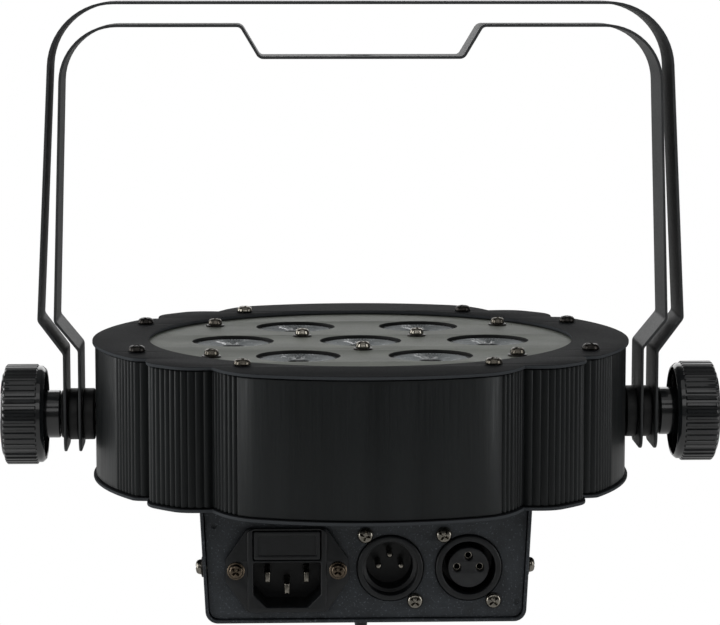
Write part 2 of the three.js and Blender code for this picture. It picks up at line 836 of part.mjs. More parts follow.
function contactBores(x, radius, from, to) {
  return contactPlaces.map(([dx, dz]) => {
    const bore = cylinder('y', radius, from, to, 8);
    return bore.translate(x + dx, 0, connectorZ + dz);
  });
}

function screwBores(x) {
  return [-1, 1].map((side) => {
    const bore = cylinder('y', sideScrewRadius + screwClearance, panelFace - 2, panelBack + 6, 8);
    return bore.translate(x + side * connectorScrewX, 0, connectorZ - side * connectorScrewZ);
  });
}

function makeMaleConnector() {
  const [flange, barrel] = connectorBase(maleX);
  const floor = connectorFace + cupDepth;
  const cup = lathe([[0, connectorFace - 1], [cupRadius, connectorFace - 1], [cupRadius, connectorFace + 5],
    [cupRadius - 1.4, connectorFace + 5.5], [cupRadius - 1.4, floor], [0, floor]], 'y', 20);
  const cut = [cup.translate(maleX, 0, connectorZ)];
  cut.push(...contactBores(maleX, pinRadius + seatGap, floor - 1, floor + 10), ...screwBores(maleX));
  addPart(head, 'male_connector', combine(flange, [barrel], cut), blackPlastic);
  contactPlaces.forEach(([dx, dz], i) => {
    const tip = connectorFace + 4;
    const end = floor + 9;
    const profile = [[0, tip], [pinRadius * 0.7, tip], [pinRadius, tip + 1], [pinRadius, end], [0, end]];
    const pin = lathe(profile, 'y', 10);
    addPart(head, `connector_pin_${i + 1}`, pin.translate(maleX + dx, 0, connectorZ + dz), nickel);
  });
}

function makeFemaleConnector() {
  const [flange, barrel] = connectorBase(femaleX);
  const insertRadius = cupRadius - 2.6;
  const ringCut = lathe([[insertRadius, connectorFace - 1], [cupRadius - 0.2, connectorFace - 1],
    [cupRadius - 0.2, connectorFace + cupDepth], [insertRadius, connectorFace + cupDepth],
    [insertRadius, connectorFace - 1]], 'y', 20);
  const face = cylinder('y', insertRadius + 1, connectorFace - 1, connectorFace + 0.8, 20);
  const cut = [ringCut.translate(femaleX, 0, connectorZ), face.translate(femaleX, 0, connectorZ)];
  const bores = contactBores(femaleX, pinRadius + 0.3, connectorFace - 1, connectorFace + cupDepth - 2);
  cut.push(...bores, ...screwBores(femaleX));
  addPart(head, 'female_connector', combine(flange, [barrel], cut), blackPlastic);
}

// ---- Controls and electronics ----

const windowZ = (boxTop + boxBottom) / 2 + 8;
const buttonZ = windowZ - 18;
const farFace = -panelFace;
const farBack = -panelBack;

function buttonX(i) {
  return (i - (buttonCount - 1) / 2) * buttonPitch;
}

function makePanels() {
  makeEndPanel('connector_panel', [
    inletCutOut(),
    circlePoints(inletX - inletScrewSpan / 2, inletZ, sideScrewRadius + screwClearance, 8),
    circlePoints(inletX + inletScrewSpan / 2, inletZ, sideScrewRadius + screwClearance, 8),
    ...connectorHoles(maleX),
    ...connectorHoles(femaleX),
  ]);
  const halfWidth = windowWidth / 2 + seatGap;
  const halfHeight = windowHeight / 2 + seatGap;
  const holes = [rectanglePoints(-halfWidth, windowZ - halfHeight, halfWidth, windowZ + halfHeight)];
  for (let i = 0; i < buttonCount; i += 1) {
    holes.push(circlePoints(buttonX(i), buttonZ, buttonRadius + seatGap, 16));
  }
  makeEndPanel('control_panel', holes).rotation.z = Math.PI;
}

function makeControls() {
  const halfWidth = windowWidth / 2;
  const halfHeight = windowHeight / 2;
  const lipWidth = 2;
  const lipBack = farBack - 1.5;
  const pane = bar('y', 0, windowZ, halfWidth, halfHeight, farBack - 1, farFace + 0.2);
  const lip = bar('y', 0, windowZ, halfWidth + lipWidth, halfHeight + lipWidth, lipBack, farBack - seatGap);
  addPart(head, 'display_window', combine(pane, [lip], []), smokedWindow);
  for (let i = 0; i < buttonCount; i += 1) {
    const collarBack = farBack - seatGap - 1.4;
    const profile = [
      [0, collarBack],
      [buttonRadius + 1.2, collarBack],
      [buttonRadius + 1.2, farBack - seatGap],
      [buttonRadius, farBack - seatGap],
      [buttonRadius, farFace + 1.6],
      [buttonRadius - 0.6, farFace + 2.2],
      [0, farFace + 2.3],
    ];
    const cap = lathe(profile, 'y', 10);
    addPart(head, `button_${i + 1}`, cap.translate(buttonX(i), 0, buttonZ), blackPlastic);
  }
  const boardFront = farBack - 1.4 - 2 * seatGap - buttonTravel - 3;
  const board = box(-36, 36, boardFront - 1.6, boardFront, buttonZ - 8, windowZ + 11);
  const digits = bar('y', 0, windowZ, halfWidth, halfHeight - 0.5, boardFront - 1, lipBack - seatGap);
  const joined = [digits];
  for (let i = 0; i < buttonCount; i += 1) {
    joined.push(bar('y', buttonX(i), buttonZ, 3, 3, boardFront - 1, boardFront + 2.4));
  }
  addPart(head, 'control_board', combine(board, joined, []), greenMask);
}

// Board on four standoffs, with its parts as [x, y, width, depth, height] from its corner
function makeBoard(name, x0, x1, y0, y1, parts) {
  const floor = boxBottom + sheetThickness + seatGap;
  const boardBottom = floor + 5;
  const boardTop = boardBottom + 1.6;
  const joined = [];
  for (const x of [x0 + 4, x1 - 4]) {
    for (const y of [y0 + 4, y1 - 4]) {
      joined.push(extrudeZ(circlePoints(x, y, 2.5, 8), [], floor, boardBottom + 0.5));
    }
  }
  for (const [x, y, width, depth, height] of parts) {
    joined.push(box(x0 + x, x0 + x + width, y0 + y, y0 + y + depth, boardTop - 0.5, boardTop + height));
  }
  const board = box(x0, x1, y0, y1, boardBottom, boardTop);
  addPart(head, name, combine(board, joined, []), greenMask);
}

function makeElectronics() {
  makeBoard('power_board', -48, 8, -22, 34, [
    [8, 8, 20, 22, 20],
    [32, 10, 10, 10, 24],
    [44, 10, 8, 8, 14],
    [10, 36, 34, 4, 18],
  ]);
  makeBoard('driver_board', 14, 50, -22, 34, [
    [6, 8, 9, 9, 2],
    [20, 8, 10, 10, 6],
    [20, 24, 10, 10, 6],
    [8, 40, 20, 6, 9],
  ]);
}

// ---- Clamp stack ----

const innerSpacerFrom = sideRadius + seatGap;
const innerStrapFace = innerSpacerFrom + innerSpacerLength + seatGap;
const middleSpacerFrom = innerStrapFace + strapThickness + seatGap;
const outerStrapFace = middleSpacerFrom + middleSpacerLength + seatGap;
const washerFrom = outerStrapFace + strapThickness + seatGap;
const knobFrom = washerFrom + washerLength + seatGap;
const knobRimFrom = knobFrom + knobNeckLength;
const knobRimTo = knobRimFrom + knobRimLength;
const nutBlockTo = Math.sqrt((sideRadius - drumWall) ** 2 - (nutBlockSize / 2) ** 2) - 3 * seatGap;
const nutBlockFrom = nutBlockTo - nutBlockDepth;

// Ring about X between two distances, with a bore that clears the bolt
function clampRing(radius, from, to, segments) {
  const bore = boltRadius + boltClearance;
  return lathe([[bore, from], [radius, from], [radius, to], [bore, to], [bore, from]], 'x', segments);
}

function makeKnob() {
  const rim = [];
  for (let i = 0; i < knobFlutes; i += 1) {
    for (const [share, depth] of [[0, 0], [0.42, 0], [0.5, fluteDepth], [0.92, fluteDepth]]) {
      const angle = (2 * Math.PI * (i + share)) / knobFlutes;
      const radius = knobRadius - depth;
      rim.push(new THREE.Vector2(radius * Math.cos(angle), radius * Math.sin(angle)));
    }
  }
  const hollow = lathe([
    [washerRadius, knobRimFrom - 1],
    [knobRadius - 2.2, knobRimFrom - 1],
    [knobRadius - 2.2, knobRimTo - 3],
    [washerRadius, knobRimTo - 3],
    [washerRadius, knobRimFrom - 1],
  ], 'x', 24);
  const capRadius = knobRadius - 2.3;
  const neck = cylinder('x', washerRadius, knobFrom, knobRimTo - 1, 24);
  const cap = lathe([
    [0, knobRimTo - 1],
    [capRadius, knobRimTo - 1],
    [capRadius, knobRimTo + 0.6],
    [capRadius * 0.75, knobRimTo + knobCapHeight * 0.8],
    [0, knobRimTo + knobCapHeight],
  ], 'x', 24);
  const bolt = cylinder('x', boltRadius, nutBlockFrom - 2, knobFrom + 2, 12);
  const joined = [neck, cap, bolt];
  for (let i = 0; i < 6; i += 1) {
    const web = box(knobRimFrom + 4, knobRimTo - 2, washerRadius - 1, knobRadius - 1.8, -1, 1);
    joined.push(web.rotateX((i * Math.PI) / 3));
  }
  const core = cylinder('x', knobRadius - fluteDepth, knobRimFrom, knobRimTo - 1, 48);
  const body = combine(extrudeX(rim, [], knobRimFrom + knobBand, knobRimTo), [core], [hollow]);
  return combine(body, joined, []);
}

function makeClampStacks() {
  for (const side of ['left', 'right']) {
    const stack = new THREE.Group();
    stack.rotation.z = side === 'left' ? Math.PI : 0;
    head.add(stack);
    const inner = clampRing(spacerRadius, innerSpacerFrom, innerSpacerFrom + innerSpacerLength, 18);
    const middle = clampRing(spacerRadius, middleSpacerFrom, middleSpacerFrom + middleSpacerLength, 18);
    const washer = clampRing(washerRadius, washerFrom, washerFrom + washerLength, 18);
    addPart(stack, `inner_spacer_${side}`, inner, matteRubber);
    addPart(stack, `middle_spacer_${side}`, middle, matteRubber);
    addPart(stack, `washer_${side}`, washer, matteRubber);
    addPart(stack, `knob_${side}`, makeKnob(), blackPlastic);
    const half = nutBlockSize / 2;
    const bore = cylinder('x', boltRadius + boltClearance, nutBlockFrom - 1, nutBlockTo + 1, 20);
    const block = combine(box(nutBlockFrom, nutBlockTo, -half, half, -half * 0.8, half * 0.8), [], [bore]);
    addPart(stack, `nut_block_${side}`, block, aluminium);
  }
}

// ---- Yokes ----

// Half of a strap's centre line, from the foot up to the middle; heights are from the pivot
function yokePath(strapFace, spread, bends, lean, topHeight, cornerBend, dip) {
  const half = strapThickness / 2;
  const legX = strapFace + half;
  const wideX = legX + spread;
  const top = topHeight - half;
  const right = [
    [legX, -strapEndBelowPivot, 0],
    [legX, bends[0], strapBend],
    [wideX, bends[1], strapBend],
    [wideX - lean, top, cornerBend],
  ];
  if (dip) {
    right.push([dipTopHalf, top, strapBend]);
    right.push([dipBottomHalf, top - dipDepth, strapBend]);
  }
  const left = right.map(([x, z, radius]) => [-x, z, radius]).reverse();
  return roundedPath(right.concat(left), false, 4);
}

function makeYoke(name, path) {
  const band = extrudeY(stripOutline(path, strapThickness), [], -strapWidth / 2, strapWidth / 2);
  const cut = [];
  const reach = outerStrapFace + 20;
  for (const side of [-1, 1]) {
    const x0 = side < 0 ? -reach : sideRadius - 10;
    const x1 = side < 0 ? -sideRadius + 10 : reach;
    cut.push(cylinder('x', boltRadius + boltClearance, x0, x1, 14));
    // rounded corners of the foot
    for (const edge of [-1, 1]) {
      const corner = new THREE.Vector2((edge * strapWidth) / 2, -strapEndBelowPivot);
      const centre = new THREE.Vector2(corner.x - edge * strapEndRadius, corner.y + strapEndRadius);
      const outside = corner.x + edge;
      const outline = [new THREE.Vector2(outside, corner.y - 1), new THREE.Vector2(outside, centre.y)];
      for (let k = 0; k <= 3; k += 1) {
        const angle = (k / 3) * (Math.PI / 2);
        outline.push(new THREE.Vector2(
          centre.x + edge * strapEndRadius * Math.cos(angle),
          centre.y - strapEndRadius * Math.sin(angle),
        ));
      }
      outline.push(new THREE.Vector2(centre.x, corner.y - 1));
      cut.push(extrudeX(edge < 0 ? outline : outline.reverse(), [], x0, x1));
    }
  }
  cut.push(extrudeZ(circlePoints(0, 0, clampHoleRadius, 20), [], outerYokeHeight / 2, outerYokeHeight + 5));
  addPart(head, name, combine(band, [], cut), powderCoat);
}

function makeYokes() {
  const outerBends = [24.3, 36.7];
  const innerBends = [25.6, 36.3];
  const outer = yokePath(outerStrapFace, outerLegSpread, outerBends, outerLean, outerYokeHeight, 24, false);
  const inner = yokePath(innerStrapFace, innerLegSpread, innerBends, innerLean, innerYokeHeight, 21, true);
  makeYoke('outer_yoke', outer);
  makeYoke('inner_yoke', inner);
}

// ---- Safety eye ----

function makeSafetyEye() {
  const top = boxBottom - seatGap;
  const base = box(-7, 7, -eyeSpan / 2 - 6, eyeSpan / 2 + 6, top - 1.5, top);
  const low = top - eyeHeight + eyeWireRadius;
  const half = eyeSpan / 2 - eyeWireRadius;
  const path = new THREE.CatmullRomCurve3([
    new THREE.Vector3(0, -half, top - 0.7),
    new THREE.Vector3(0, -half, top - 4),
    new THREE.Vector3(0, -half * 0.75, low + 2.2),
    new THREE.Vector3(0, 0, low),
    new THREE.Vector3(0, half * 0.75, low + 2.2),
    new THREE.Vector3(0, half, top - 4),
    new THREE.Vector3(0, half, top - 0.7),
  ], false, 'catmullrom', 0.5);
  const section = new THREE.Shape(circlePoints(0, 0, eyeWireRadius, 8));
  const loop = new THREE.ExtrudeGeometry(section, { steps: 14, extrudePath: path, bevelEnabled: false });
  addPart(head, 'safety_eye', combine(base, [loop], []), steelWire);
}

makeDrum();
makeEndPlates();
makePlateScrews();
makeLensPlate();
makeLenses();
makeLedBoard();
makeHeatSink();
makeRearCover();
makePanels();
makeSideScrews();
makeInlet();
makeBlades();
makeFuseDrawer();
makeMaleConnector();
makeFemaleConnector();
makeControls();
makeElectronics();
makeClampStacks();
makeYokes();
makeSafetyEye();

export default model;
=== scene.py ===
import math
import random

import bmesh
import bpy
from mathutils import Matrix, Vector
from mathutils.geometry import tessellate_polygon


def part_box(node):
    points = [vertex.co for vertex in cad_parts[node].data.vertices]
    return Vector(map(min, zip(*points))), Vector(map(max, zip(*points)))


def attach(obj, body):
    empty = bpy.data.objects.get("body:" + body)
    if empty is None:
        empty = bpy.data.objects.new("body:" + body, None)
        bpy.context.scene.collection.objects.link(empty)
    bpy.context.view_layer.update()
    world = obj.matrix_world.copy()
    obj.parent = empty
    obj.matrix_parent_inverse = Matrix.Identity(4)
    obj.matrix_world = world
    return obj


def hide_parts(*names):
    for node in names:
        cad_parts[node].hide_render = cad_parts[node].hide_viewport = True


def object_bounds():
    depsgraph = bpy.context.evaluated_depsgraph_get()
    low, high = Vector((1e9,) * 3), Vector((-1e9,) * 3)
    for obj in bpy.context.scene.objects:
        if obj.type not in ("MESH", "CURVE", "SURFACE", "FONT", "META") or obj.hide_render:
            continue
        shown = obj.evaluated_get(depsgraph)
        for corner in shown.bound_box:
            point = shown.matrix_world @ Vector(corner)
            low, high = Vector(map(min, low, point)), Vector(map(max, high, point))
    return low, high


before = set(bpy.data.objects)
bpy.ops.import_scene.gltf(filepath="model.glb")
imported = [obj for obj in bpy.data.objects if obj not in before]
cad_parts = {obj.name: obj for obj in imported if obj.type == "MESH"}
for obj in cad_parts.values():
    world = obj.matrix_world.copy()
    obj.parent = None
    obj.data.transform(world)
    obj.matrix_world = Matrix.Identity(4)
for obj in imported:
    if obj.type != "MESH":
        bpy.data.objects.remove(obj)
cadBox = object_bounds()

# An LED par can light on its double yoke. Lengths are millimetres until a mesh is made,
# and the camera, the floor and the lights are placed in metres
scene = bpy.context.scene
millimetre = 0.001  # in metres
tiny = 1e-6  # a radius below this is a point on the axis
clearance = 0.3  # between neighbouring parts

print("camera")
cameraSetup = {
    "place": (-0.0368, -1.0437, 0.0131),  # a little left of the light and level with the yoke's top
    "target": (-0.0002, 0.0, -0.1158),
    "lens": 140.69,
    "sensor": 36,
}
cameraData = bpy.data.cameras.new("camera")
cameraData.lens = cameraSetup["lens"]
cameraData.sensor_width = cameraSetup["sensor"]
camera = bpy.data.objects.new("camera", cameraData)
camera.location = cameraSetup["place"]
sight = Vector(cameraSetup["target"]) - Vector(cameraSetup["place"])
camera.rotation_euler = sight.to_track_quat("-Z", "Y").to_euler()
scene.collection.objects.link(camera)
scene.camera = camera


# A node's lowest and highest corners in millimetres
def span(node):
    low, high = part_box(node)
    return low / millimetre, high / millimetre


def middle(node):
    low, high = span(node)
    return (low + high) / 2


# Shells are (points, faces): closed skins that a piece is made of

# u and v lie across the axis, w runs along it
def onAxis(axis, u, v, w, at=(0, 0, 0)):
    place = {"x": (w, u, v), "y": (u, w, v), "z": (u, v, w)}[axis]
    return Vector(place) + Vector(at)


def circle(x, y, radius, count=48):
    turns = [2 * math.pi * i / count for i in range(count)]
    return [(x + radius * math.cos(turn), y + radius * math.sin(turn)) for turn in turns]


# Corners are (x, y, radius). Each corner becomes an arc, and the ends of an open line stay sharp
def rounded(corners, closed=True, steps=6):
    points = []
    count = len(corners)
    for i, (x, y, radius) in enumerate(corners):
        corner = Vector((x, y))
        if not radius or (not closed and i in (0, count - 1)):
            points.append((x, y))
            continue
        back = (Vector(corners[i - 1][:2]) - corner).normalized()
        ahead = (Vector(corners[(i + 1) % count][:2]) - corner).normalized()
        half = math.acos(max(-1, min(1, back.dot(ahead)))) / 2
        centre = corner + (back + ahead).normalized() * radius / math.sin(half)
        spoke = corner + back * radius / math.tan(half) - centre
        side = 1 if back.x * ahead.y - back.y * ahead.x < 0 else -1
        sweep = side * (math.pi - 2 * half)
        for k in range(steps + 1):
            turned2d = Matrix.Rotation(sweep * k / steps, 2) @ spoke
            points.append(tuple(centre + turned2d))
    return points


def roundedRectangle(x0, x1, y0, y1, radius, steps=6):
    return rounded([(x0, y0, radius), (x1, y0, radius), (x1, y1, radius), (x0, y1, radius)], True, steps)


# The same about a middle, with half widths
def centredRectangle(x, y, halfX, halfY, radius, steps=6):
    return roundedRectangle(x - halfX, x + halfX, y - halfY, y + halfY, radius, steps)


# Quads between neighbouring rings. A ring of one point is a tip, and open ends get a flat face
def lofted(rings, ringed=False):
    points = []
    faces = []
    starts = []
    for ring in rings:
        starts.append(len(points))
        points.extend(Vector(point) for point in ring)
    pairs = [(i, i + 1) for i in range(len(rings) - 1)]
    if ringed:
        pairs.append((len(rings) - 1, 0))
    for a, b in pairs:
        count = max(len(rings[a]), len(rings[b]))
        for i in range(count):
            j = (i + 1) % count
            steps = ((a, i), (a, j), (b, j), (b, i))
            corners = [starts[ring] + step % len(rings[ring]) for ring, step in steps]
            faces.append(list(dict.fromkeys(corners)))
    if not ringed:
        for which in (0, len(rings) - 1):
            if len(rings[which]) > 1:
                faces.append(list(range(starts[which], starts[which] + len(rings[which]))))
    return points, faces


# A profile of (radius, height) turned about an axis
def turned(profile, axis="z", at=(0, 0, 0), segments=64):
    rings = []
    for radius, height in profile:
        if radius < tiny:
            rings.append([onAxis(axis, 0, 0, height, at)])
        else:
            rings.append([onAxis(axis, u, v, height, at) for u, v in circle(0, 0, radius, segments)])
    isRing = profile[0][0] > tiny and profile[-1][0] > tiny
    return lofted(rings, isRing)


def wound(loop, way):
    area = sum(p[0] * q[1] - q[0] * p[1] for p, q in zip(loop, loop[1:] + loop[:1]))
    return loop if area * way > 0 else loop[::-1]


# The loop moved to its left, which is into the material
def insetLoop(loop, distance):
    if not distance:
        return loop
    moved = []
    for i, point in enumerate(loop):
        here = Vector(point)
        into = (here - Vector(loop[i - 1])).normalized()
        out = (Vector(loop[(i + 1) % len(loop)]) - here).normalized()
        normal = Vector((-into.y - out.y, into.x + out.x)).normalized()
        reach = distance / max(0.4, normal.dot(Vector((-into.y, into.x))))
        moved.append(tuple(here + normal * reach))
    return moved


# Flat part with holes, its edges rounded at the low and the high face
def plate(outline, holes, low, high, edges, axis="z", steps=2):
    levels = []
    for face, edge, way in ((low, edges[0], 1), (high, edges[1], -1)):
        arc = [math.pi / 2 * k / steps for k in range(steps + 1)] if edge else [math.pi / 2]
        side = [(edge * (1 - math.sin(turn)), face + way * edge * (1 - math.cos(turn))) for turn in arc]
        levels.extend(side if way > 0 else side[::-1])
    loops = [wound(outline, 1)] + [wound(hole, -1) for hole in holes]
    points = []
    faces = []
    caps = ([], [])
    flat = []
    for loop in loops:
        rings = [[onAxis(axis, u, v, w) for u, v in insetLoop(loop, inset)] for inset, w in levels]
        start = len(points)
        ringPoints, ringFaces = lofted(rings)
        ringFaces = ringFaces[:-2]
        points.extend(ringPoints)
        faces.extend([start + i for i in face] for face in ringFaces)
        caps[0].extend(range(start, start + len(loop)))
        caps[1].extend(range(len(points) - len(loop), len(points)))
        flat.append([Vector((u, v, 0)) for u, v in insetLoop(loop, levels[0][0])])
    for triangle in tessellate_polygon(flat):
        faces.append([caps[0][i] for i in triangle])
        faces.append([caps[1][i] for i in reversed(triangle)])
    return points, faces


def boxShell(x0, x1, y0, y1, z0, z1, edge=0.2):
    return plate(roundedRectangle(x0, x1, y0, y1, max(edge, 0.05), 2), [], z0, z1, (edge, edge))


# One mesh in metres from its shells, all faces turned outwards
def makeMesh(name, shells, material, sharpAngle=32):
    points = []
    faces = []
    for shellPoints, shellFaces in shells:
        start = len(points)
        points.extend(point * millimetre for point in shellPoints)
        faces.extend([start + i for i in face] for face in shellFaces)
    mesh = bpy.data.meshes.new(name)
    mesh.from_pydata(points, [], faces)
    work = bmesh.new()
    work.from_mesh(mesh)
    bmesh.ops.recalc_face_normals(work, faces=work.faces)
    work.to_mesh(mesh)
    work.free()
    mesh.shade_smooth()
    mesh.set_sharp_from_angle(angle=math.radians(sharpAngle))
    mesh.materials.append(material)
    return mesh


# The mesh with the cutter's volume taken out
def carve(mesh, cutter, sharpAngle=32):
    blank = bpy.data.objects.new("blank", mesh)
    tool = bpy.data.objects.new("tool", cutter)
    for work in (blank, tool):
        scene.collection.objects.link(work)
    cut = blank.modifiers.new("cut", "BOOLEAN")
    cut.operation = "DIFFERENCE"
    cut.solver = "EXACT"
    cut.object = tool
    bpy.context.view_layer.update()
    carved = bpy.data.meshes.new_from_object(blank.evaluated_get(bpy.context.evaluated_depsgraph_get()))
    for work in (blank, tool):
        bpy.data.objects.remove(work)
    bpy.data.meshes.remove(cutter)
    carved.shade_smooth()
    carved.set_sharp_from_angle(angle=math.radians(sharpAngle))
    return carved


# A piece on its body, with the nodes it stands for
def addPiece(name, mesh, body, nodes=(), at=(0, 0, 0), turn=None):
    piece = bpy.data.objects.new(name, mesh)
    scene.collection.objects.link(piece)
    piece.matrix_world = Matrix.Translation(Vector(at) * millimetre) @ (turn or Matrix.Identity(4))
    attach(piece, body)
    if nodes:
        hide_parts(*nodes)


# A piece made straight from its shells
def addShells(name, shells, finish, body, nodes=()):
    addPiece(name, makeMesh(name, shells, finishes[finish]), body, nodes)


# sRGB hex to the linear colour that a socket takes
def linear(hexCode):
    channels = [int(hexCode[i:i + 2], 16) / 255 for i in (1, 3, 5)]
    return [c / 12.92 if c <= 0.04045 else ((c + 0.055) / 1.055) ** 2.4 for c in channels] + [1]


def addNode(tree, kind, settings=None, links=None):
    node = tree.nodes.new(kind)
    for key, value in (settings or {}).items():
        if isinstance(key, str) and hasattr(node, key):
            setattr(node, key, value)
        else:
            node.inputs[key].default_value = value
    for key, socket in (links or {}).items():
        tree.links.new(socket, node.inputs[key])
    return node


# A new material with its constant values on the shader, and its place measured in millimetres
def startFinish(name, values):
    material = bpy.data.materials.new(name)
    material.use_nodes = True
    tree = material.node_tree
    shader = tree.nodes["Principled BSDF"]
    for socket, value in values.items():
        shader.inputs[socket].default_value = value
    place = addNode(tree, "ShaderNodeTexCoord").outputs["Object"]
    enlarge = {"operation": "SCALE", "Scale": 1 / millimetre}
    scaled = addNode(tree, "ShaderNodeVectorMath", enlarge, {0: place})
    return material, tree, shader, scaled.outputs[0]


def noise(tree, place, size, detail):
    node = addNode(tree, "ShaderNodeTexNoise", {"Scale": 1 / size, "Detail": detail}, {"Vector": place})
    return node.outputs["Fac"]


# A value's span (from) stretched to another span (to)
def ranged(tree, value, fromLow, fromHigh, toLow=0, toHigh=1):
    ends = {"From Min": fromLow, "From Max": fromHigh, "To Min": toLow, "To Max": toHigh}
    return addNode(tree, "ShaderNodeMapRange", ends, {"Value": value}).outputs[0]


# The second tone laid over the first by a share. The first is a hex code or a socket
def mixed(tree, share, first, second):
    settings = {"data_type": "RGBA", 7: linear(second)}
    links = {0: share}
    if isinstance(first, str):
        settings[6] = linear(first)
    else:
        links[6] = first
    return addNode(tree, "ShaderNodeMix", settings, links).outputs[2]


def dented(tree, height, depth, strength=1):
    settings = {"Distance": depth * millimetre, "Strength": strength}
    return addNode(tree, "ShaderNodeBump", settings, {"Height": height})


finishes = {}


# Two tones that drift over toneSize, and a grain that dents the surface and varies its gloss.
# Noise keeps near its middle, so each share is stretched from the part that it fills
def grainedFinish(name, look):
    material, tree, shader, place = startFinish(name, look["shader"])
    if "stretch" in look:
        pull = {"operation": "MULTIPLY", 1: look["stretch"]}
        place = addNode(tree, "ShaderNodeVectorMath", pull, {0: place}).outputs[0]
    share = ranged(tree, noise(tree, place, look["toneSize"], 4), 0.36, 0.64)
    colour = mixed(tree, share, *look["tones"])
    grain = noise(tree, place, look["grainSize"], 2)
    # painted glints: the tops of the grain are lightened into specks where they would catch the light
    if "paintedGlintTone" in look:
        colour = mixed(tree, ranged(tree, grain, 0.58, 0.74, 0, look["paintedGlintShare"]), colour, look["paintedGlintTone"])
    # faces that don't look along the axis get a painted tone: a painted highlight on the ring plate's edges
    # and painted shade on the lens plate's hole walls
    if "paintedSideTone" in look:
        normal = tree.nodes["Texture Coordinate"].outputs["Normal"]
        facing = addNode(tree, "ShaderNodeSeparateXYZ", {}, {0: normal})
        upright = addNode(tree, "ShaderNodeMath", {"operation": "ABSOLUTE"}, {0: facing.outputs[2]})
        colour = mixed(tree, ranged(tree, upright.outputs[0], 0.8, 0.5), colour, look["paintedSideTone"])
    tree.links.new(colour, shader.inputs["Base Color"])
    tree.links.new(ranged(tree, grain, 0.3, 0.7, *look["roughness"]), shader.inputs["Roughness"])
    bump = dented(tree, grain, look["grainDepth"])
    # the coat's slow waves lie under its grain
    if "waveSize" in look:
        broad = dented(tree, noise(tree, place, look["waveSize"], 1), look["waveDepth"])
        tree.links.new(broad.outputs[0], bump.inputs["Normal"])
    tree.links.new(bump.outputs[0], shader.inputs["Normal"])
    finishes[name] = material


print("finishes")

# Black anodised extrusion: satin, with die lines down its height that break up the soft reflections
grainedFinish("blackAnodisedAluminium", {
    "shader": {"Metallic": 0.35, "Specular IOR Level": 0.45},
    "tones": ("#1b1e1f", "#252829"),
    "toneSize": 14,
    "stretch": (1, 1, 0.03),
    "grainSize": 0.7,  # real die lines are about 0.2 mm apart, drawn coarser so that they show
    "grainDepth": 0.035,
    "roughness": (0.34, 0.5),
})

# Charcoal paint on steel sheet: satin, with the faint orange peel of a sprayed coat
grainedFinish("charcoalSprayPaint", {
    "shader": {"Metallic": 0, "IOR": 1.5, "Specular IOR Level": 0.03},
    "tones": ("#202224", "#28292b"),
    # painted highlight on the plate's edges, lighter than its face
    "paintedSideTone": "#484b4e",
    "toneSize": 22,
    "grainSize": 0.5,
    "grainDepth": 0.02,
    "roughness": (0.58, 0.7),
    "waveSize": 2.5,
    "waveDepth": 0.012,
})

# Grey paint on the lens plate: flatter and lighter than the ring round it
grainedFinish("greyMattPaint", {
    "shader": {"Metallic": 0, "IOR": 1.5, "Specular IOR Level": 0.3},
    "tones": ("#797d75", "#868a81"),
    # painted shade on the walls of the lens holes and on the plate's rim
    "paintedSideTone": "#141515",
    "toneSize": 18,
    "grainSize": 0.6,
    "grainDepth": 0.012,
    "roughness": (0.5, 0.62),
    "waveSize": 3,
    "waveDepth": 0.008,
})

# Black powder coat baked to a fine texture: matt pebbles, with painted glints on their tops
grainedFinish("blackTexturePowderCoat", {
    "shader": {"Metallic": 0, "IOR": 1.5},
    "tones": ("#2a2e32", "#383d42"),
    "toneSize": 9,
    "paintedGlintTone": "#7c838a",
    "paintedGlintShare": 0.6,
    "grainSize": 0.75,  # real pebbles are about 0.4 mm across, drawn coarser so that they show
    "grainDepth": 0.09,
    "roughness": (0.42, 0.66),
    "waveSize": 3.5,
    "waveDepth": 0.05,
})

# Dark grey powder coat on the yokes' flat bar: an even satin that goes pale at a low angle
grainedFinish("greyPowderCoat", {
    "shader": {"Metallic": 0, "IOR": 1.52},
    "tones": ("#313335", "#3b3d3e"),
    "toneSize": 16,
    # painted glints on the tops of the grain
    "paintedGlintTone": "#5a5d5f",
    "paintedGlintShare": 0.35,
    "grainSize": 0.6,
    "grainDepth": 0.04,
    "roughness": (0.4, 0.56),
    "waveSize": 3,
    "waveDepth": 0.04,
})

# Glass-filled nylon from a polished mould: glossy black with soft swirls
grainedFinish("glossMouldedNylon", {
    "shader": {"Metallic": 0, "IOR": 1.53, "Coat Weight": 1},
    "tones": ("#101315", "#191c1e"),
    "toneSize": 8,
    "grainSize": 0.9,
    "grainDepth": 0.012,
    "roughness": (0.14, 0.22),
})

# Flame-retardant thermoplastic of the inlet and connectors: satin black from a spark-eroded mould
grainedFinish("satinMouldedThermoplastic", {
    "shader": {"Metallic": 0, "IOR": 1.53},
    "tones": ("#0f1214", "#171a1d"),
    "toneSize": 6,
    "grainSize": 0.45,
    "grainDepth": 0.025,
    "roughness": (0.34, 0.48),
})

# The same plastic for the socket insert: a dark grey that stands out from the black cup
grainedFinish("greyMouldedInsert", {
    "shader": {"Metallic": 0, "IOR": 1.53},
    "tones": ("#1d1e20", "#292b2d"),
    "toneSize": 4,
    "grainSize": 0.45,
    "grainDepth": 0.02,
    "roughness": (0.4, 0.5),
})

# Matt rubber of the spacers: a dry black, with faint painted glints on its grain
grainedFinish("mattBlackRubber", {
    "shader": {"Metallic": 0, "IOR": 1.52},
    "tones": ("#0f1011", "#18191a"),
    "toneSize": 5,
    "paintedGlintTone": "#2c2c2d",
    "paintedGlintShare": 0.3,
    "grainSize": 0.35,
    "grainDepth": 0.02,
    "roughness": (0.4, 0.56),
})

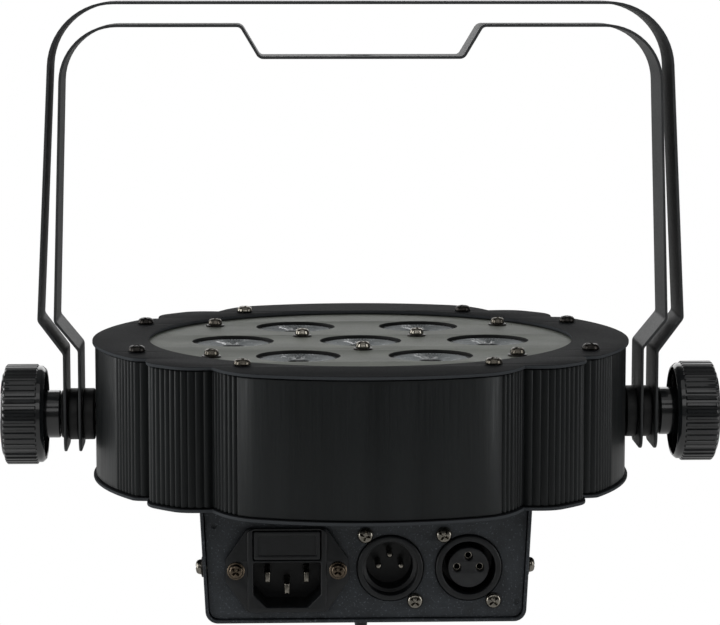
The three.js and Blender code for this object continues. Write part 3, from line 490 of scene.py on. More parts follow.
# Nickel plate on turned steel screws: bright and warm, with small dull patches
grainedFinish("nickelPlatedSteel", {
    "shader": {"Metallic": 1},
    "tones": ("#7f7b72", "#a8a399"),
    "toneSize": 1.6,
    "grainSize": 0.25,
    "grainDepth": 0.008,
    "roughness": (0.08, 0.2),
})

# The same plate, darker and duller, on the four outer lens screws and two of the ring screws
grainedFinish("darkerNickelPlate", {
    "shader": {"Metallic": 1},
    "tones": ("#59554e", "#777268"),
    "toneSize": 1.6,
    "grainSize": 0.25,
    "grainDepth": 0.01,
    "roughness": (0.2, 0.34),
})

# Black zinc plate on the other screws: a dark metal sheen with a brown cast
grainedFinish("blackZincPlate", {
    "shader": {"Metallic": 1},
    "tones": ("#2b2a29", "#3f3c39"),
    "toneSize": 1.6,
    "grainSize": 0.25,
    "grainDepth": 0.01,
    "roughness": (0.24, 0.38),
})

# Bronzed plate on the inlet's two screws: a dull brown metal
grainedFinish("bronzedSteel", {
    "shader": {"Metallic": 1},
    "tones": ("#5f5549", "#7c6f60"),
    "toneSize": 1.6,
    "grainSize": 0.25,
    "grainDepth": 0.01,
    "roughness": (0.22, 0.36),
})

# Chemically blackened steel of the safety eye: a dull, nearly black metal
grainedFinish("blackenedSteel", {
    "shader": {"Metallic": 0.9},
    "tones": ("#2a2b2c", "#3a3b3b"),
    "toneSize": 5,
    "grainSize": 0.4,
    "grainDepth": 0.02,
    "roughness": (0.34, 0.5),
})

# Bare extruded aluminium of the heat sink and nut blocks: a pale satin metal with drawn lines
grainedFinish("millAluminium", {
    "shader": {"Metallic": 1},
    "tones": ("#8f9193", "#abadaf"),
    "toneSize": 7,
    "stretch": (1, 0.05, 1),
    "grainSize": 0.4,
    "grainDepth": 0.02,
    "roughness": (0.32, 0.5),
})

# White solder mask under the lenses: glossy lacquer over copper
grainedFinish("whiteSolderMask", {
    "shader": {"Metallic": 0, "IOR": 1.5},
    "tones": ("#d9d9d4", "#e8e8e4"),
    "toneSize": 5,
    "grainSize": 0.5,
    "grainDepth": 0.01,
    "roughness": (0.25, 0.35),
})

# Ceramic and silicone of the LED packages: a dark yellow gel, slightly glossy
grainedFinish("ledPackage", {
    "shader": {"Metallic": 0, "IOR": 1.45, "Coat Weight": 0.5},
    "tones": ("#3a3620", "#6a6438"),
    "toneSize": 1.2,
    "grainSize": 0.3,
    "grainDepth": 0.01,
    "roughness": (0.2, 0.3),
})


boards = {
    "trackSize": 3.5,
    "mask": ("#256b45", "#174a2e"),
    "parts": "#1c1d20",
    "posts": "#8d8a7c",
    "maskLift": 0.04,
    "roughness": (0.28, 0.42),
}


# Green solder mask: tracks show as a lighter pattern. What stands on the board is dark, and the
# posts below it are bare metal
def makeSolderMask(name, boardLow, boardHigh, axis):
    material, tree, shader, place = startFinish(name, {"IOR": 1.5, "Coat Weight": 0.3})
    cells = {"distance": "MANHATTAN", "Scale": 1 / boards["trackSize"]}
    tracks = addNode(tree, "ShaderNodeTexVoronoi", cells, {"Vector": place})
    trackShare = ranged(tree, tracks.outputs["Distance"], 0.3, 0.34)
    colour = mixed(tree, trackShare, *boards["mask"])
    height = addNode(tree, "ShaderNodeSeparateXYZ", {}, {0: place}).outputs[axis]
    above = addNode(tree, "ShaderNodeMath", {"operation": "GREATER_THAN", 1: boardHigh}, {0: height})
    colour = mixed(tree, above.outputs[0], colour, boards["parts"])
    below = addNode(tree, "ShaderNodeMath", {"operation": "LESS_THAN", 1: boardLow}, {0: height})
    colour = mixed(tree, below.outputs[0], colour, boards["posts"])
    tree.links.new(colour, shader.inputs["Base Color"])
    lift = dented(tree, trackShare, boards["maskLift"], strength=0.6)
    tree.links.new(lift.outputs[0], shader.inputs["Normal"])
    tree.links.new(ranged(tree, trackShare, 0, 1, *boards["roughness"]), shader.inputs["Roughness"])
    return material


# Clear plastics and glass: a tint, a trace of dust in the gloss and a faint flow wave
def clearFinish(name, look):
    material, tree, shader, place = startFinish(name, look["shader"])
    dust = noise(tree, place, look["dustSize"], 3)
    tree.links.new(ranged(tree, dust, 0.4, 0.7, *look["roughness"]), shader.inputs["Roughness"])
    colour = mixed(tree, dust, *look["tones"])
    # painted shade: a dark round patch on the axis, with a soft border, where the well looks dark
    if "paintedCentreShadeRadius" in look:
        split = addNode(tree, "ShaderNodeSeparateXYZ", {}, {0: place})
        flat = addNode(tree, "ShaderNodeCombineXYZ", {}, {0: split.outputs[0], 1: split.outputs[1]})
        away = addNode(tree, "ShaderNodeVectorMath", {"operation": "LENGTH"}, {0: flat.outputs[0]})
        inside = ranged(tree, away.outputs["Value"], look["paintedCentreShadeRadius"] + 0.3, look["paintedCentreShadeRadius"] - 0.3)
        colour = mixed(tree, inside, colour, look["paintedCentreShadeTone"])
    tree.links.new(colour, shader.inputs["Base Color"])
    ripple = dented(tree, dust, look["rippleDepth"])
    tree.links.new(ripple.outputs[0], shader.inputs["Normal"])
    finishes[name] = material


# Clear moulded acrylic: its gloss gives sparkle on the flutes, a pale painted tone stands for the bright
# reflections in it, and painted shade darkens the middle
clearFinish("clearAcrylic", {
    "shader": {"IOR": 1.49, "Coat Roughness": 0.03, "Transmission Weight": 0.25, "Coat Weight": 1},
    # pale painted reflection in place of the clear plastic's own colour
    "tones": ("#b4b9bb", "#d3d8da"),
    # painted shade over the well in the middle of the lens
    "paintedCentreShadeRadius": 4.2,
    "paintedCentreShadeTone": "#1c1d1e",
    "dustSize": 3,
    "roughness": (0.16, 0.32),
    "rippleDepth": 0.02,
})

# Smoked acrylic of the display window: nearly black, with a red cast
clearFinish("smokedAcrylic", {
    "shader": {"IOR": 1.49, "Coat Roughness": 0.12, "Transmission Weight": 0.5},
    "tones": ("#1c0606", "#2c0b0b"),
    "dustSize": 6,
    "roughness": (0.06, 0.14),
    "rippleDepth": 0.01,
})

# Soda glass of the fuse: clear, with a faint green cast
clearFinish("fuseGlass", {
    "shader": {"IOR": 1.52, "Transmission Weight": 0.9},
    "tones": ("#dfe8e6", "#eef4f2"),
    "dustSize": 2,
    "roughness": (0.02, 0.08),
    "rippleDepth": 0.005,
})


# Screws: pan heads with a cross recess, seated at height 0 and pointing along +Z
screwKinds = {
    "plate": {"head": 3.1, "height": 2.2, "shank": 1.5, "length": 11.8, "washer": 0, "cross": 2.0},
    "panel": {"head": 2.9, "height": 1.9, "shank": 1.45, "length": 7.5, "washer": 0, "cross": 1.9},
    "lens": {"head": 2.7, "height": 2.3, "shank": 1.4, "length": 3.2, "washer": 3.5, "cross": 1.7},
    "cover": {"head": 2.7, "height": 2.0, "shank": 1.5, "length": 7, "washer": 3.7, "cross": 1.7},
    "inlet": {"head": 2.6, "height": 1.5, "shank": 1.45, "length": 6.5, "washer": 3.2, "cross": 1.6},
}
washerHeight = 0.8
screwHoles = {"clear": 1.8, "close": 1.7}  # radii


def screwHole(x, y, fit="clear"):
    return circle(x, y, screwHoles[fit], 24)


def makeScrewMesh(name, kindName, finish, washerFinish=None):
    kind = screwKinds[kindName]
    material = finishes[finish]
    low = washerHeight if kind["washer"] else 0
    head = kind["head"]
    top = low + kind["height"]
    body = turned(rounded([
        (0, -kind["length"], 0),
        (kind["shank"], -kind["length"], 0.4),
        (kind["shank"], low, 0),
        (head, low, 0.12),
        (head, low + 0.45, 0.3),
        (head * 0.86, top - 0.35, head * 0.45),
        (head * 0.3, top, head * 0.5),
        (0, top, 0),
    ], False, 4), segments=48)
    wide, slim = kind["cross"], 0.42
    quarters = ((1, 0), (0, 1), (-1, 0), (0, -1))
    recess = []
    for depth, reach in ((top + 1, 1.25), (top - 0.25, 1), (top - 1.5, 0.45)):
        long, short = wide * reach, slim * (0.6 + 0.4 * reach)
        arm = [(long, -short), (long, short), (short, short)]
        cross = [(x * c - y * s, x * s + y * c) for c, s in quarters for x, y in arm]
        recess.append([(x, y, depth) for x, y in cross])
    mesh = makeMesh(name, [body], material)
    mesh = carve(mesh, makeMesh("recess", [lofted(recess)], material))
    mesh.name = name
    if not kind["washer"]:
        return mesh, None
    ring = turned(rounded([
        (kind["shank"] + 0.2, 0, 0),
        (kind["washer"], 0, 0.15),
        (kind["washer"], 0.55, 0.2),
        (head + 0.1, washerHeight, 0.1),
        (kind["shank"] + 0.2, washerHeight, 0),
    ], True, 3), segments=48)
    return mesh, makeMesh(name + "Washer", [ring], finishes[washerFinish or finish])


# The turn that points a screw along an axis. Its cross is left at a chance angle
random.seed(11)
screwTurns = {
    "up": Matrix.Identity(4),
    "down": Matrix.Rotation(math.pi, 4, "X"),
    "front": Matrix.Rotation(math.pi / 2, 4, "X"),
    "right": Matrix.Rotation(math.pi / 2, 4, "Y"),
    "left": Matrix.Rotation(-math.pi / 2, 4, "Y"),
}


def addScrew(name, meshes, way, at, nodes=()):
    turn = screwTurns[way] @ Matrix.Rotation(random.uniform(0, math.pi / 2), 4, "Z")
    screw, washer = meshes
    addPiece(name, screw, "head", nodes, at, turn)
    if washer:
        addPiece(name + "Washer", washer, "head", (), at, turn)


print("drum")
drum = {
    "sideRadius": 99,
    "cornerRadius": 102,
    "frontRadius": 104,
    "notchRadius": 95,
    "wall": 3,
    "ribDepth": 0.9,
    "ribsPerQuarter": 28,
    "ribBand": (25.5, 64),  # degrees from the pivots
    "endEdge": 0.45,
    "channelRadius": 4,
    "boltHole": 4.3,
    "boltWay": (90, 104),  # from the axis, through the wall
    "webHalf": 1.5,
    "webStart": 2.5,  # inside the channel's wall
    "plateOverhang": 1,
    "plateEdge": 0.3,
    "wireWay": (38, 4),  # half width and corner radius
    "openingRadius": 79,
}
lobes = [
    {"centre": 0, "half": 36.3, "top": drum["sideRadius"], "rise": 3},
    {"centre": 45.9, "half": 9.6, "top": drum["cornerRadius"], "rise": 7},
    {"centre": 90, "half": 34.5, "top": drum["frontRadius"], "rise": 12.5},
]
drumLow, drumHigh = span("drum_shell")
pivotZ = middle("inner_spacer_right").z
channelPlaces = [middle(f"ring_screw_{i + 1}") for i in range(8)]


# The outline's radius: three kinds of lobe rise from a notch circle, alike in every quarter
def lobedRadius(angle):
    around = angle % 180
    folded = 180 - around if around > 90 else around
    radius = drum["notchRadius"]
    for lobe in lobes:
        inside = (lobe["half"] - abs(folded - lobe["centre"])) / lobe["rise"]
        ease = math.sin(math.pi / 2 * max(0, min(1, inside)))
        radius = max(radius, drum["notchRadius"] + (lobe["top"] - drum["notchRadius"]) * ease)
    return radius


def atAngle(radius, angle):
    return radius * math.cos(math.radians(angle)), radius * math.sin(math.radians(angle))


# Reeded bands: round crests and sharp grooves
def ribShare(angle):
    around = angle % 180
    folded = 180 - around if around > 90 else around
    first, last = drum["ribBand"]
    if not first <= folded <= last:
        return 0
    turns = (folded - first) / (last - first) * drum["ribsPerQuarter"]
    return 1 - abs(math.cos(math.pi * turns))


# Eight steps to each rib and coarser ones on the plain lobes
def drumAngles():
    first, last = drum["ribBand"]
    fine = drum["ribsPerQuarter"] * 8
    quarter = [first * i / 34 for i in range(34)]
    quarter += [first + (last - first) * i / fine for i in range(fine)]
    quarter += [last + (90 - last) * i / 40 for i in range(40)]
    half = quarter + [180 - angle for angle in [90] + quarter[:0:-1]]
    return half + [angle + 180 for angle in half]


# The lobed wall with its two bolt holes, and the screw channels webbed to its inside
def makeDrum():
    low, high, edge, wall = drumLow.z, drumHigh.z, drum["endEdge"], drum["wall"]
    section = rounded([(0, low, edge), (0, high, edge), (wall, high, edge), (wall, low, edge)], True, 3)
    angles = drumAngles()
    rings = []
    for inset, z in section:
        rib = drum["ribDepth"] if inset < wall / 2 else 0
        ring = []
        for angle in angles:
            radius = lobedRadius(angle) - inset - rib * ribShare(angle)
            ring.append((*atAngle(radius, angle), z))
        rings.append(ring)
    finish = finishes["blackAnodisedAluminium"]
    mesh = makeMesh("drum", [lofted(rings, True)], finish, sharpAngle=40)
    for side in (-1, 1):
        near, far = drum["boltWay"]
        bore = [(0, near), (drum["boltHole"], near), (drum["boltHole"], far), (0, far)]
        points, faces = turned(bore, "x", segments=40)
        points = [Vector((side * p.x, p.y, p.z + pivotZ)) for p in points]
        mesh = carve(mesh, makeMesh("boltWay", [(points, faces)], finish), sharpAngle=40)
    channels = []
    for centre in channelPlaces:
        radius, turn = math.hypot(centre.x, centre.y), math.degrees(math.atan2(centre.y, centre.x))
        outline = circle(centre.x, centre.y, drum["channelRadius"], 32)
        tube = plate(outline, [screwHole(centre.x, centre.y)], low, high, (edge, edge))
        reach = lobedRadius(turn) - wall / 2
        start, half = radius + drum["webStart"], drum["webHalf"]
        web = [(start, -half), (reach, -half), (reach, half), (start, half)]
        cosine, sine = atAngle(1, turn)
        across = [(x * cosine - y * sine, x * sine + y * cosine) for x, y in web]
        channels.append(tube)
        channels.append(plate(across, [], low + 0.1, high - 0.1, (0, 0)))
    inside = makeMesh("channels", channels, finish)
    return mesh, inside


drumMesh, channelMesh = makeDrum()
addPiece("drumShell", drumMesh, "head", ["drum_shell"])
addPiece("screwChannels", channelMesh, "head")

print("end plates")
halfDegrees = [i / 2 for i in range(720)]
plateOutline = [atAngle(lobedRadius(angle) + drum["plateOverhang"], angle) for angle in halfDegrees]
ringScrewHoles = [screwHole(centre.x, centre.y) for centre in channelPlaces]
lightWay = circle(0, 0, drum["openingRadius"], 240)
wireHalf, wireRadius = drum["wireWay"]
wireWay = centredRectangle(0, 0, wireHalf, wireHalf, wireRadius)
for name, node, opening in (
    ("ringPlate", "front_ring_plate", lightWay),
    ("rearPlate", "rear_plate", wireWay),
):
    low, high = span(node)
    shell = plate(plateOutline, [opening] + ringScrewHoles, low.z, high.z, (drum["plateEdge"],) * 2)
    addShells(name, [shell], "charcoalSprayPaint", "head", [node])

print("plate screws")
nickelPlateScrew = makeScrewMesh("nickelPlateScrew", "plate", "nickelPlatedSteel")
blackPlateScrew = makeScrewMesh("blackPlateScrew", "plate", "blackZincPlate")
darkerPlateScrew = makeScrewMesh("darkerPlateScrew", "plate", "darkerNickelPlate")
seat = span("front_ring_plate")[1].z + clearance
rearSeat = span("rear_plate")[0].z
# five black screws and a bright one, as a lamp has after years of replacements, and two darker, duller ones
plateScrews = [blackPlateScrew] * 5 + [nickelPlateScrew] + [darkerPlateScrew] * 2
for i, (centre, meshes) in enumerate(zip(channelPlaces, plateScrews)):
    addScrew(f"ringScrew{i + 1}", meshes, "up", (centre.x, centre.y, seat), [f"ring_screw_{i + 1}"])
    addScrew(f"rearScrew{i + 1}", blackPlateScrew, "down", (centre.x, centre.y, rearSeat))

print("light engine")
engine = {
    "holeRadius": 15.2,
    "outerPosts": (70.1, 38.3),
    "innerPosts": (25, 30),
    "fluteCount": 72,
    "fluteDepth": 0.4,
    "wellRadius": 4.1,
    "wellDepth": 1.5,
}
lensPlateLow, lensPlateHigh = span("lens_plate")
lensPlaces = [middle(f"lens_{i + 1}") for i in range(7)]
postRadius, postAngle = engine["outerPosts"]
postAngles = (postAngle, 180 - postAngle, 180 + postAngle, 360 - postAngle)
postPlaces = [atAngle(postRadius, angle) for angle in postAngles]
postPlaces += [atAngle(engine["innerPosts"][0], engine["innerPosts"][1] + 120 * i) for i in range(3)]
lensHoles = [circle(centre.x, centre.y, engine["holeRadius"], 120) for centre in lensPlaces]
postHoles = [screwHole(x, y, "close") for x, y in postPlaces]
disc = circle(0, 0, lensPlateHigh.x, 240)
lensPlate = plate(disc, lensHoles + postHoles, lensPlateLow.z, lensPlateHigh.z, (0.1, 0.2))
addShells("lensPlate", [lensPlate], "greyMattPaint", "head", ["lens_plate"])
lensScrew = makeScrewMesh("lensScrew", "lens", "nickelPlatedSteel", "blackZincPlate")
darkerLensScrew = makeScrewMesh("darkerLensScrew", "lens", "darkerNickelPlate", "blackZincPlate")
for i, (x, y) in enumerate(postPlaces):
    addScrew(f"lensScrew{i + 1}", darkerLensScrew if i < 4 else lensScrew, "up", (x, y, lensPlateHigh.z))


# Moulded collimator: fluted face round a well, an inner cone to the LED and a mounting flange
def makeLens():
    low, high = span("lens_1")
    height = high.z - low.z
    flange = (high.x - low.x) / 2
    face = engine["holeRadius"] - 0.3
    well, depth = engine["wellRadius"], engine["wellDepth"]
    # (radius, height from the face, share of the flutes), from the well out and down to the LED
    section = [
        (0, -depth - 0.6, 0), (well * 0.5, -depth, 0), (well * 0.9, -depth, 0), (well, -0.9, 0),
        (well + 0.5, -0.7, 0.3), (face * 0.45, -0.62, 1), (face * 0.62, -0.5, 1), (face * 0.76, -0.35, 1),
        (face * 0.87, -0.15, 0.8), (face * 0.9, 0, 0), (face - 0.25, 0, 0), (face, -0.25, 0),
        (face, -1.75, 0), (flange, -1.85, 0), (flange, -3.25, 0), (face - 0.6, -3.4, 0),
        (face * 0.82, -6.5, 0), (face * 0.6, -10.5, 0), (5.6, -height + 0.2, 0), (5.2, -height, 0),
        (3.4, -height, 0), (3.0, -height + 0.5, 0), (2.6, -height + 5, 0), (0, -height + 5.8, 0),
    ]
    count = engine["fluteCount"] * 4
    rings = []
    for radius, z, share in section:
        if radius < tiny:
            rings.append([(0, 0, z)])
            continue
        ring = []
        for i, (x, y) in enumerate(circle(0, 0, radius, count)):
            lift = engine["fluteDepth"] * share * math.cos(2 * math.pi * i / 4)
            ring.append((x, y, z + lift))
        rings.append(ring)
    return makeMesh("lens", [lofted(rings)], finishes["clearAcrylic"], sharpAngle=28)


lensMesh = makeLens()
dome = [(0, 2.85), (0.7, 2.75), (1.4, 2.4), (1.9, 1.9), (2.15, 1.3), (2.2, 0.85), (0, 0.85)]
emitter = [boxShell(-2.5, 2.5, -2.5, 2.5, 0, 0.9), turned(dome, segments=32)]
emitterMesh = makeMesh("emitter", emitter, finishes["ledPackage"])
lensTop = span("lens_1")[1].z
for i, centre in enumerate(lensPlaces):
    addPiece(f"lens{i + 1}", lensMesh, "head", [f"lens_{i + 1}"], (centre.x, centre.y, lensTop))
emitterFoot = span("led_board")[1].z - 0.1  # sunk into the solder
for i, centre in enumerate(lensPlaces):
    addPiece(f"emitter{i + 1}", emitterMesh, "head", (), (centre.x, centre.y, emitterFoot))
for node, finish in (
    ("led_board", "whiteSolderMask"),
    ("heat_sink", "millAluminium"),
    ("nut_block_left", "millAluminium"),
    ("nut_block_right", "millAluminium"),
):
    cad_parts[node].material_slots[0].material = finishes[finish]

print("rear box")
rearBox = {
    "sheet": 1.2,
    "cornerRadius": 4.5,
    "flange": 10,
    "flangeBend": 1.6,
    "edge": 0.3,
    "tabDepth": 14,
}


# A path as (length along it, point, normal), with exact normals round its bends
def pathStations(corners, steps=12):
    line = [Vector(p) for p in rounded(corners, False, steps)]
    tangents = []
    for i, point in enumerate(line):
        before = (point - line[i - 1]).normalized() if i else None
        after = (line[i + 1] - point).normalized() if i < len(line) - 1 else None
        tangent = ((before or after) + (after or before)).normalized()
        if before and after and (point - line[i - 1]).length > 4 * (line[i + 1] - point).length:
            tangent = before
        elif before and after and (line[i + 1] - point).length > 4 * (point - line[i - 1]).length:
            tangent = after
        tangents.append(tangent)
    stations = []
    length = 0
    for i, point in enumerate(line):
        length += (point - line[i - 1]).length if i else 0
        stations.append((length, point, Vector((-tangents[i].y, tangents[i].x))))
    return stations


def alongPath(stations, length):
    for (s0, p0, n0), (s1, p1, n1) in zip(stations, stations[1:]):
        if length <= s1 or s1 == stations[-1][0]:
            share = (length - s0) / (s1 - s0)
            return p0.lerp(p1, share), n0.lerp(n1, max(0, min(1, share))).normalized()


# Flat strip along (s, y), cut at every station and bent so that s follows the path in XZ
def bentStrip(outline, holes, stations, thickness, edge):
    points, faces = plate(outline, holes, -thickness / 2, thickness / 2, (edge, edge), steps=3)
    flat = bpy.data.meshes.new("flat")
    flat.from_pydata(points, [], faces)
    work = bmesh.new()
    work.from_mesh(flat)
    bpy.data.meshes.remove(flat)
    for length, point, normal in stations[1:-1]:
        everything = work.verts[:] + work.edges[:] + work.faces[:]
        bmesh.ops.bisect_plane(work, geom=everything, dist=1e-5, plane_co=(length, 0, 0), plane_no=(1, 0, 0))
    work.verts.index_update()
    bent = []
    for vert in work.verts:
        point, normal = alongPath(stations, vert.co.x)
        place = point + normal * vert.co.z
        bent.append(Vector((place.x, vert.co.y, place.y)))
    shell = bent, [[vert.index for vert in face.verts] for face in work.faces]
    work.free()
    return shell


# Length along the path where it first passes a height, looked for from the start or the end
def lengthAtHeight(stations, height, fromEnd=False):
    pairs = list(zip(stations, stations[1:]))
    for (s0, p0, _), (s1, p1, _) in (pairs[::-1] if fromEnd else pairs):
        if min(p0.y, p1.y) <= height <= max(p0.y, p1.y) and abs(p1.y - p0.y) > 1:
            return s0 + (s1 - s0) * (height - p0.y) / (p1.y - p0.y)


boxLow, boxHigh = span("rear_cover")
half = rearBox["sheet"] / 2
boxBottomHalf = 57.3  # the walls lean in a little towards the bottom
sideScrewY = -50.2
sideScrewZ = middle("cover_screw_right").z
coverPath = pathStations([
    (-boxHigh.x + half + rearBox["flange"], boxHigh.z - half, 0),
    (-boxHigh.x + half, boxHigh.z - half, rearBox["flangeBend"]),
    (-boxBottomHalf + half, boxLow.z + half, rearBox["cornerRadius"] - half),
    (boxBottomHalf - half, boxLow.z + half, rearBox["cornerRadius"] - half),
    (boxHigh.x - half, boxHigh.z - half, rearBox["flangeBend"]),
    (boxHigh.x - half - rearBox["flange"], boxHigh.z - half, 0),
], 10)
coverLength = coverPath[-1][0]
coverHoles = []
for fromEnd in (False, True):
    s = lengthAtHeight(coverPath, sideScrewZ, fromEnd)
    for y in (sideScrewY, -sideScrewY):
        coverHoles.append(screwHole(s, y))
coverOutline = roundedRectangle(0, coverLength, boxLow.y, boxHigh.y, 1.5)
cover = bentStrip(coverOutline, coverHoles, coverPath, rearBox["sheet"], rearBox["edge"])
addShells("rearCover", [cover], "blackTexturePowderCoat", "head", ["rear_cover"])

print("panels")
connectorPanel = {
    "cornerRadius": 3.5,
    "edge": 0.25,
    "inletBody": (13.5, 14.5),  # half width and half height of its opening
    "connectorHole": 12.1,
    "buttonHole": 3.7,
    "windowHalf": (17, 6.5),
    "tabInset": (6, 1),  # from the panel's bottom and top
    "topCorner": 0.4,
}
connectorLow, connectorHigh = span("connector_panel")
inletLow, inletHigh = span("mains_inlet")
inletCentre = (inletLow + inletHigh) / 2
maleCentre = (middle("connector_pin_1") + middle("connector_pin_2")) / 2
femaleCentre = middle("female_connector")
femaleCentre.z = maleCentre.z
panelFace = connectorLow.y
panelBack = panelFace + rearBox["sheet"]
connectorScrews = [(-8.9, 12), (8.9, -12)]
inletScrewHalf = 18.2


# The panel's half width at a height, parallel to the leaning walls
def panelHalf(z):
    share = (z - boxLow.z) / (boxHigh.z - boxLow.z)
    return boxBottomHalf + (boxHigh.x - boxBottomHalf) * share - rearBox["sheet"] - clearance


# An inset end panel with a tab bent along each side
def panelShells(front, back, holes, tabEnd):
    low, high = connectorLow.z, connectorHigh.z
    corner, topCorner = connectorPanel["cornerRadius"], connectorPanel["topCorner"]
    outline = rounded([
        (-panelHalf(high), high, topCorner), (-panelHalf(low), low, corner),
        (panelHalf(low), low, corner), (panelHalf(high), high, topCorner),
    ])
    edges = (connectorPanel["edge"], 0.1) if front < back else (0.1, connectorPanel["edge"])
    shells = [plate(outline, holes, min(front, back), max(front, back), edges, "y")]
    tabLow, tabHigh = low + connectorPanel["tabInset"][0], high - connectorPanel["tabInset"][1]
    lowOut, highOut = panelHalf(tabLow), panelHalf(tabHigh)
    sheet = rearBox["sheet"]
    for side in (-1, 1):
        tab = rounded([
            (side * lowOut, tabLow, 0.2), (side * highOut, tabHigh, 0.2),
            (side * (highOut - sheet), tabHigh, 0.2), (side * (lowOut - sheet), tabLow, 0.2),
        ], True, 2)
        shells.append(plate(tab, [], min(back, tabEnd), max(back, tabEnd), (0.1, 0.1), "y"))
    return shells


panelHoles = [centredRectangle(inletCentre.x, inletCentre.z, *connectorPanel["inletBody"], 1)]
for side in (-1, 1):
    panelHoles.append(screwHole(inletCentre.x + side * inletScrewHalf, inletCentre.z))
for centre in (maleCentre, femaleCentre):
    panelHoles.append(circle(centre.x, centre.z, connectorPanel["connectorHole"], 96))
    for dx, dz in connectorScrews:
        panelHoles.append(screwHole(centre.x + dx, centre.z + dz))
nearShells = panelShells(panelFace, panelBack, panelHoles, panelFace + rearBox["tabDepth"])
panelMesh = makeMesh("connectorPanel", nearShells, finishes["blackTexturePowderCoat"])
# two blind dimples left by the locating pins of the press
dimple = [(0, panelFace - 1), (1.2, panelFace - 1), (1.1, panelFace + 0.5), (0, panelFace + 0.8)]
dimplePlaces = ((-54.2, inletHigh.z + 0.8), (54, connectorLow.z + 5.5))
for x, z in dimplePlaces:
    pin = makeMesh("pin", [turned(dimple, "y", (x, 0, z), 24)], finishes["blackTexturePowderCoat"])
    panelMesh = carve(panelMesh, pin)
panelMesh.name = "connectorPanel"
addPiece("connectorPanel", panelMesh, "head", ["connector_panel"])

windowLow, windowHigh = span("display_window")
farFace = span("control_panel")[1].y
farBack = farFace - rearBox["sheet"]
windowCentre = (windowLow + windowHigh) / 2
paneHalfX, paneHalfZ = connectorPanel["windowHalf"]
controlHoles = [centredRectangle(0, windowCentre.z, paneHalfX + clearance, paneHalfZ + clearance, 1.2)]
buttonPlaces = [middle(f"button_{i + 1}") for i in range(4)]
for centre in buttonPlaces:
    controlHoles.append(circle(centre.x, centre.z, connectorPanel["buttonHole"], 48))
farShells = panelShells(farFace, farBack, controlHoles, farFace - rearBox["tabDepth"])
addShells("controlPanel", farShells, "blackTexturePowderCoat", "head", ["control_panel"])

coverScrew = makeScrewMesh("coverScrew", "cover", "nickelPlatedSteel", "blackZincPlate")
wallX = panelHalf(sideScrewZ) + rearBox["sheet"] + clearance
addScrew("coverScrewRight", coverScrew, "right", (wallX, sideScrewY, sideScrewZ), ["cover_screw_right"])
addScrew("coverScrewLeft", coverScrew, "left", (-wallX, sideScrewY, sideScrewZ), ["cover_screw_left"])
addScrew("farScrewRight", coverScrew, "right", (wallX, -sideScrewY, sideScrewZ))
addScrew("farScrewLeft", coverScrew, "left", (-wallX, -sideScrewY, sideScrewZ))

print("mains inlet")
inlet = {
    "bezelHalf": (14.2, 15.2),
    "bezelRadius": 2.2,
    "bodyHalf": (13.2, 14.2),
    "earHalf": 22,
    "earTip": (4, 2.4),  # half height and corner radius
    "earFace": 1.8,
    "socketHalf": 12,
    "socketLow": 1.9,
    "socketHeight": 16.2,
    "socketDepth": 17,
    "chamfer": 4.6,
    "drawerHalf": 11.8,
    "drawerHeight": 10.2,
    "bodyDepth": 27,
}


blades = ("left", "right", "earth")


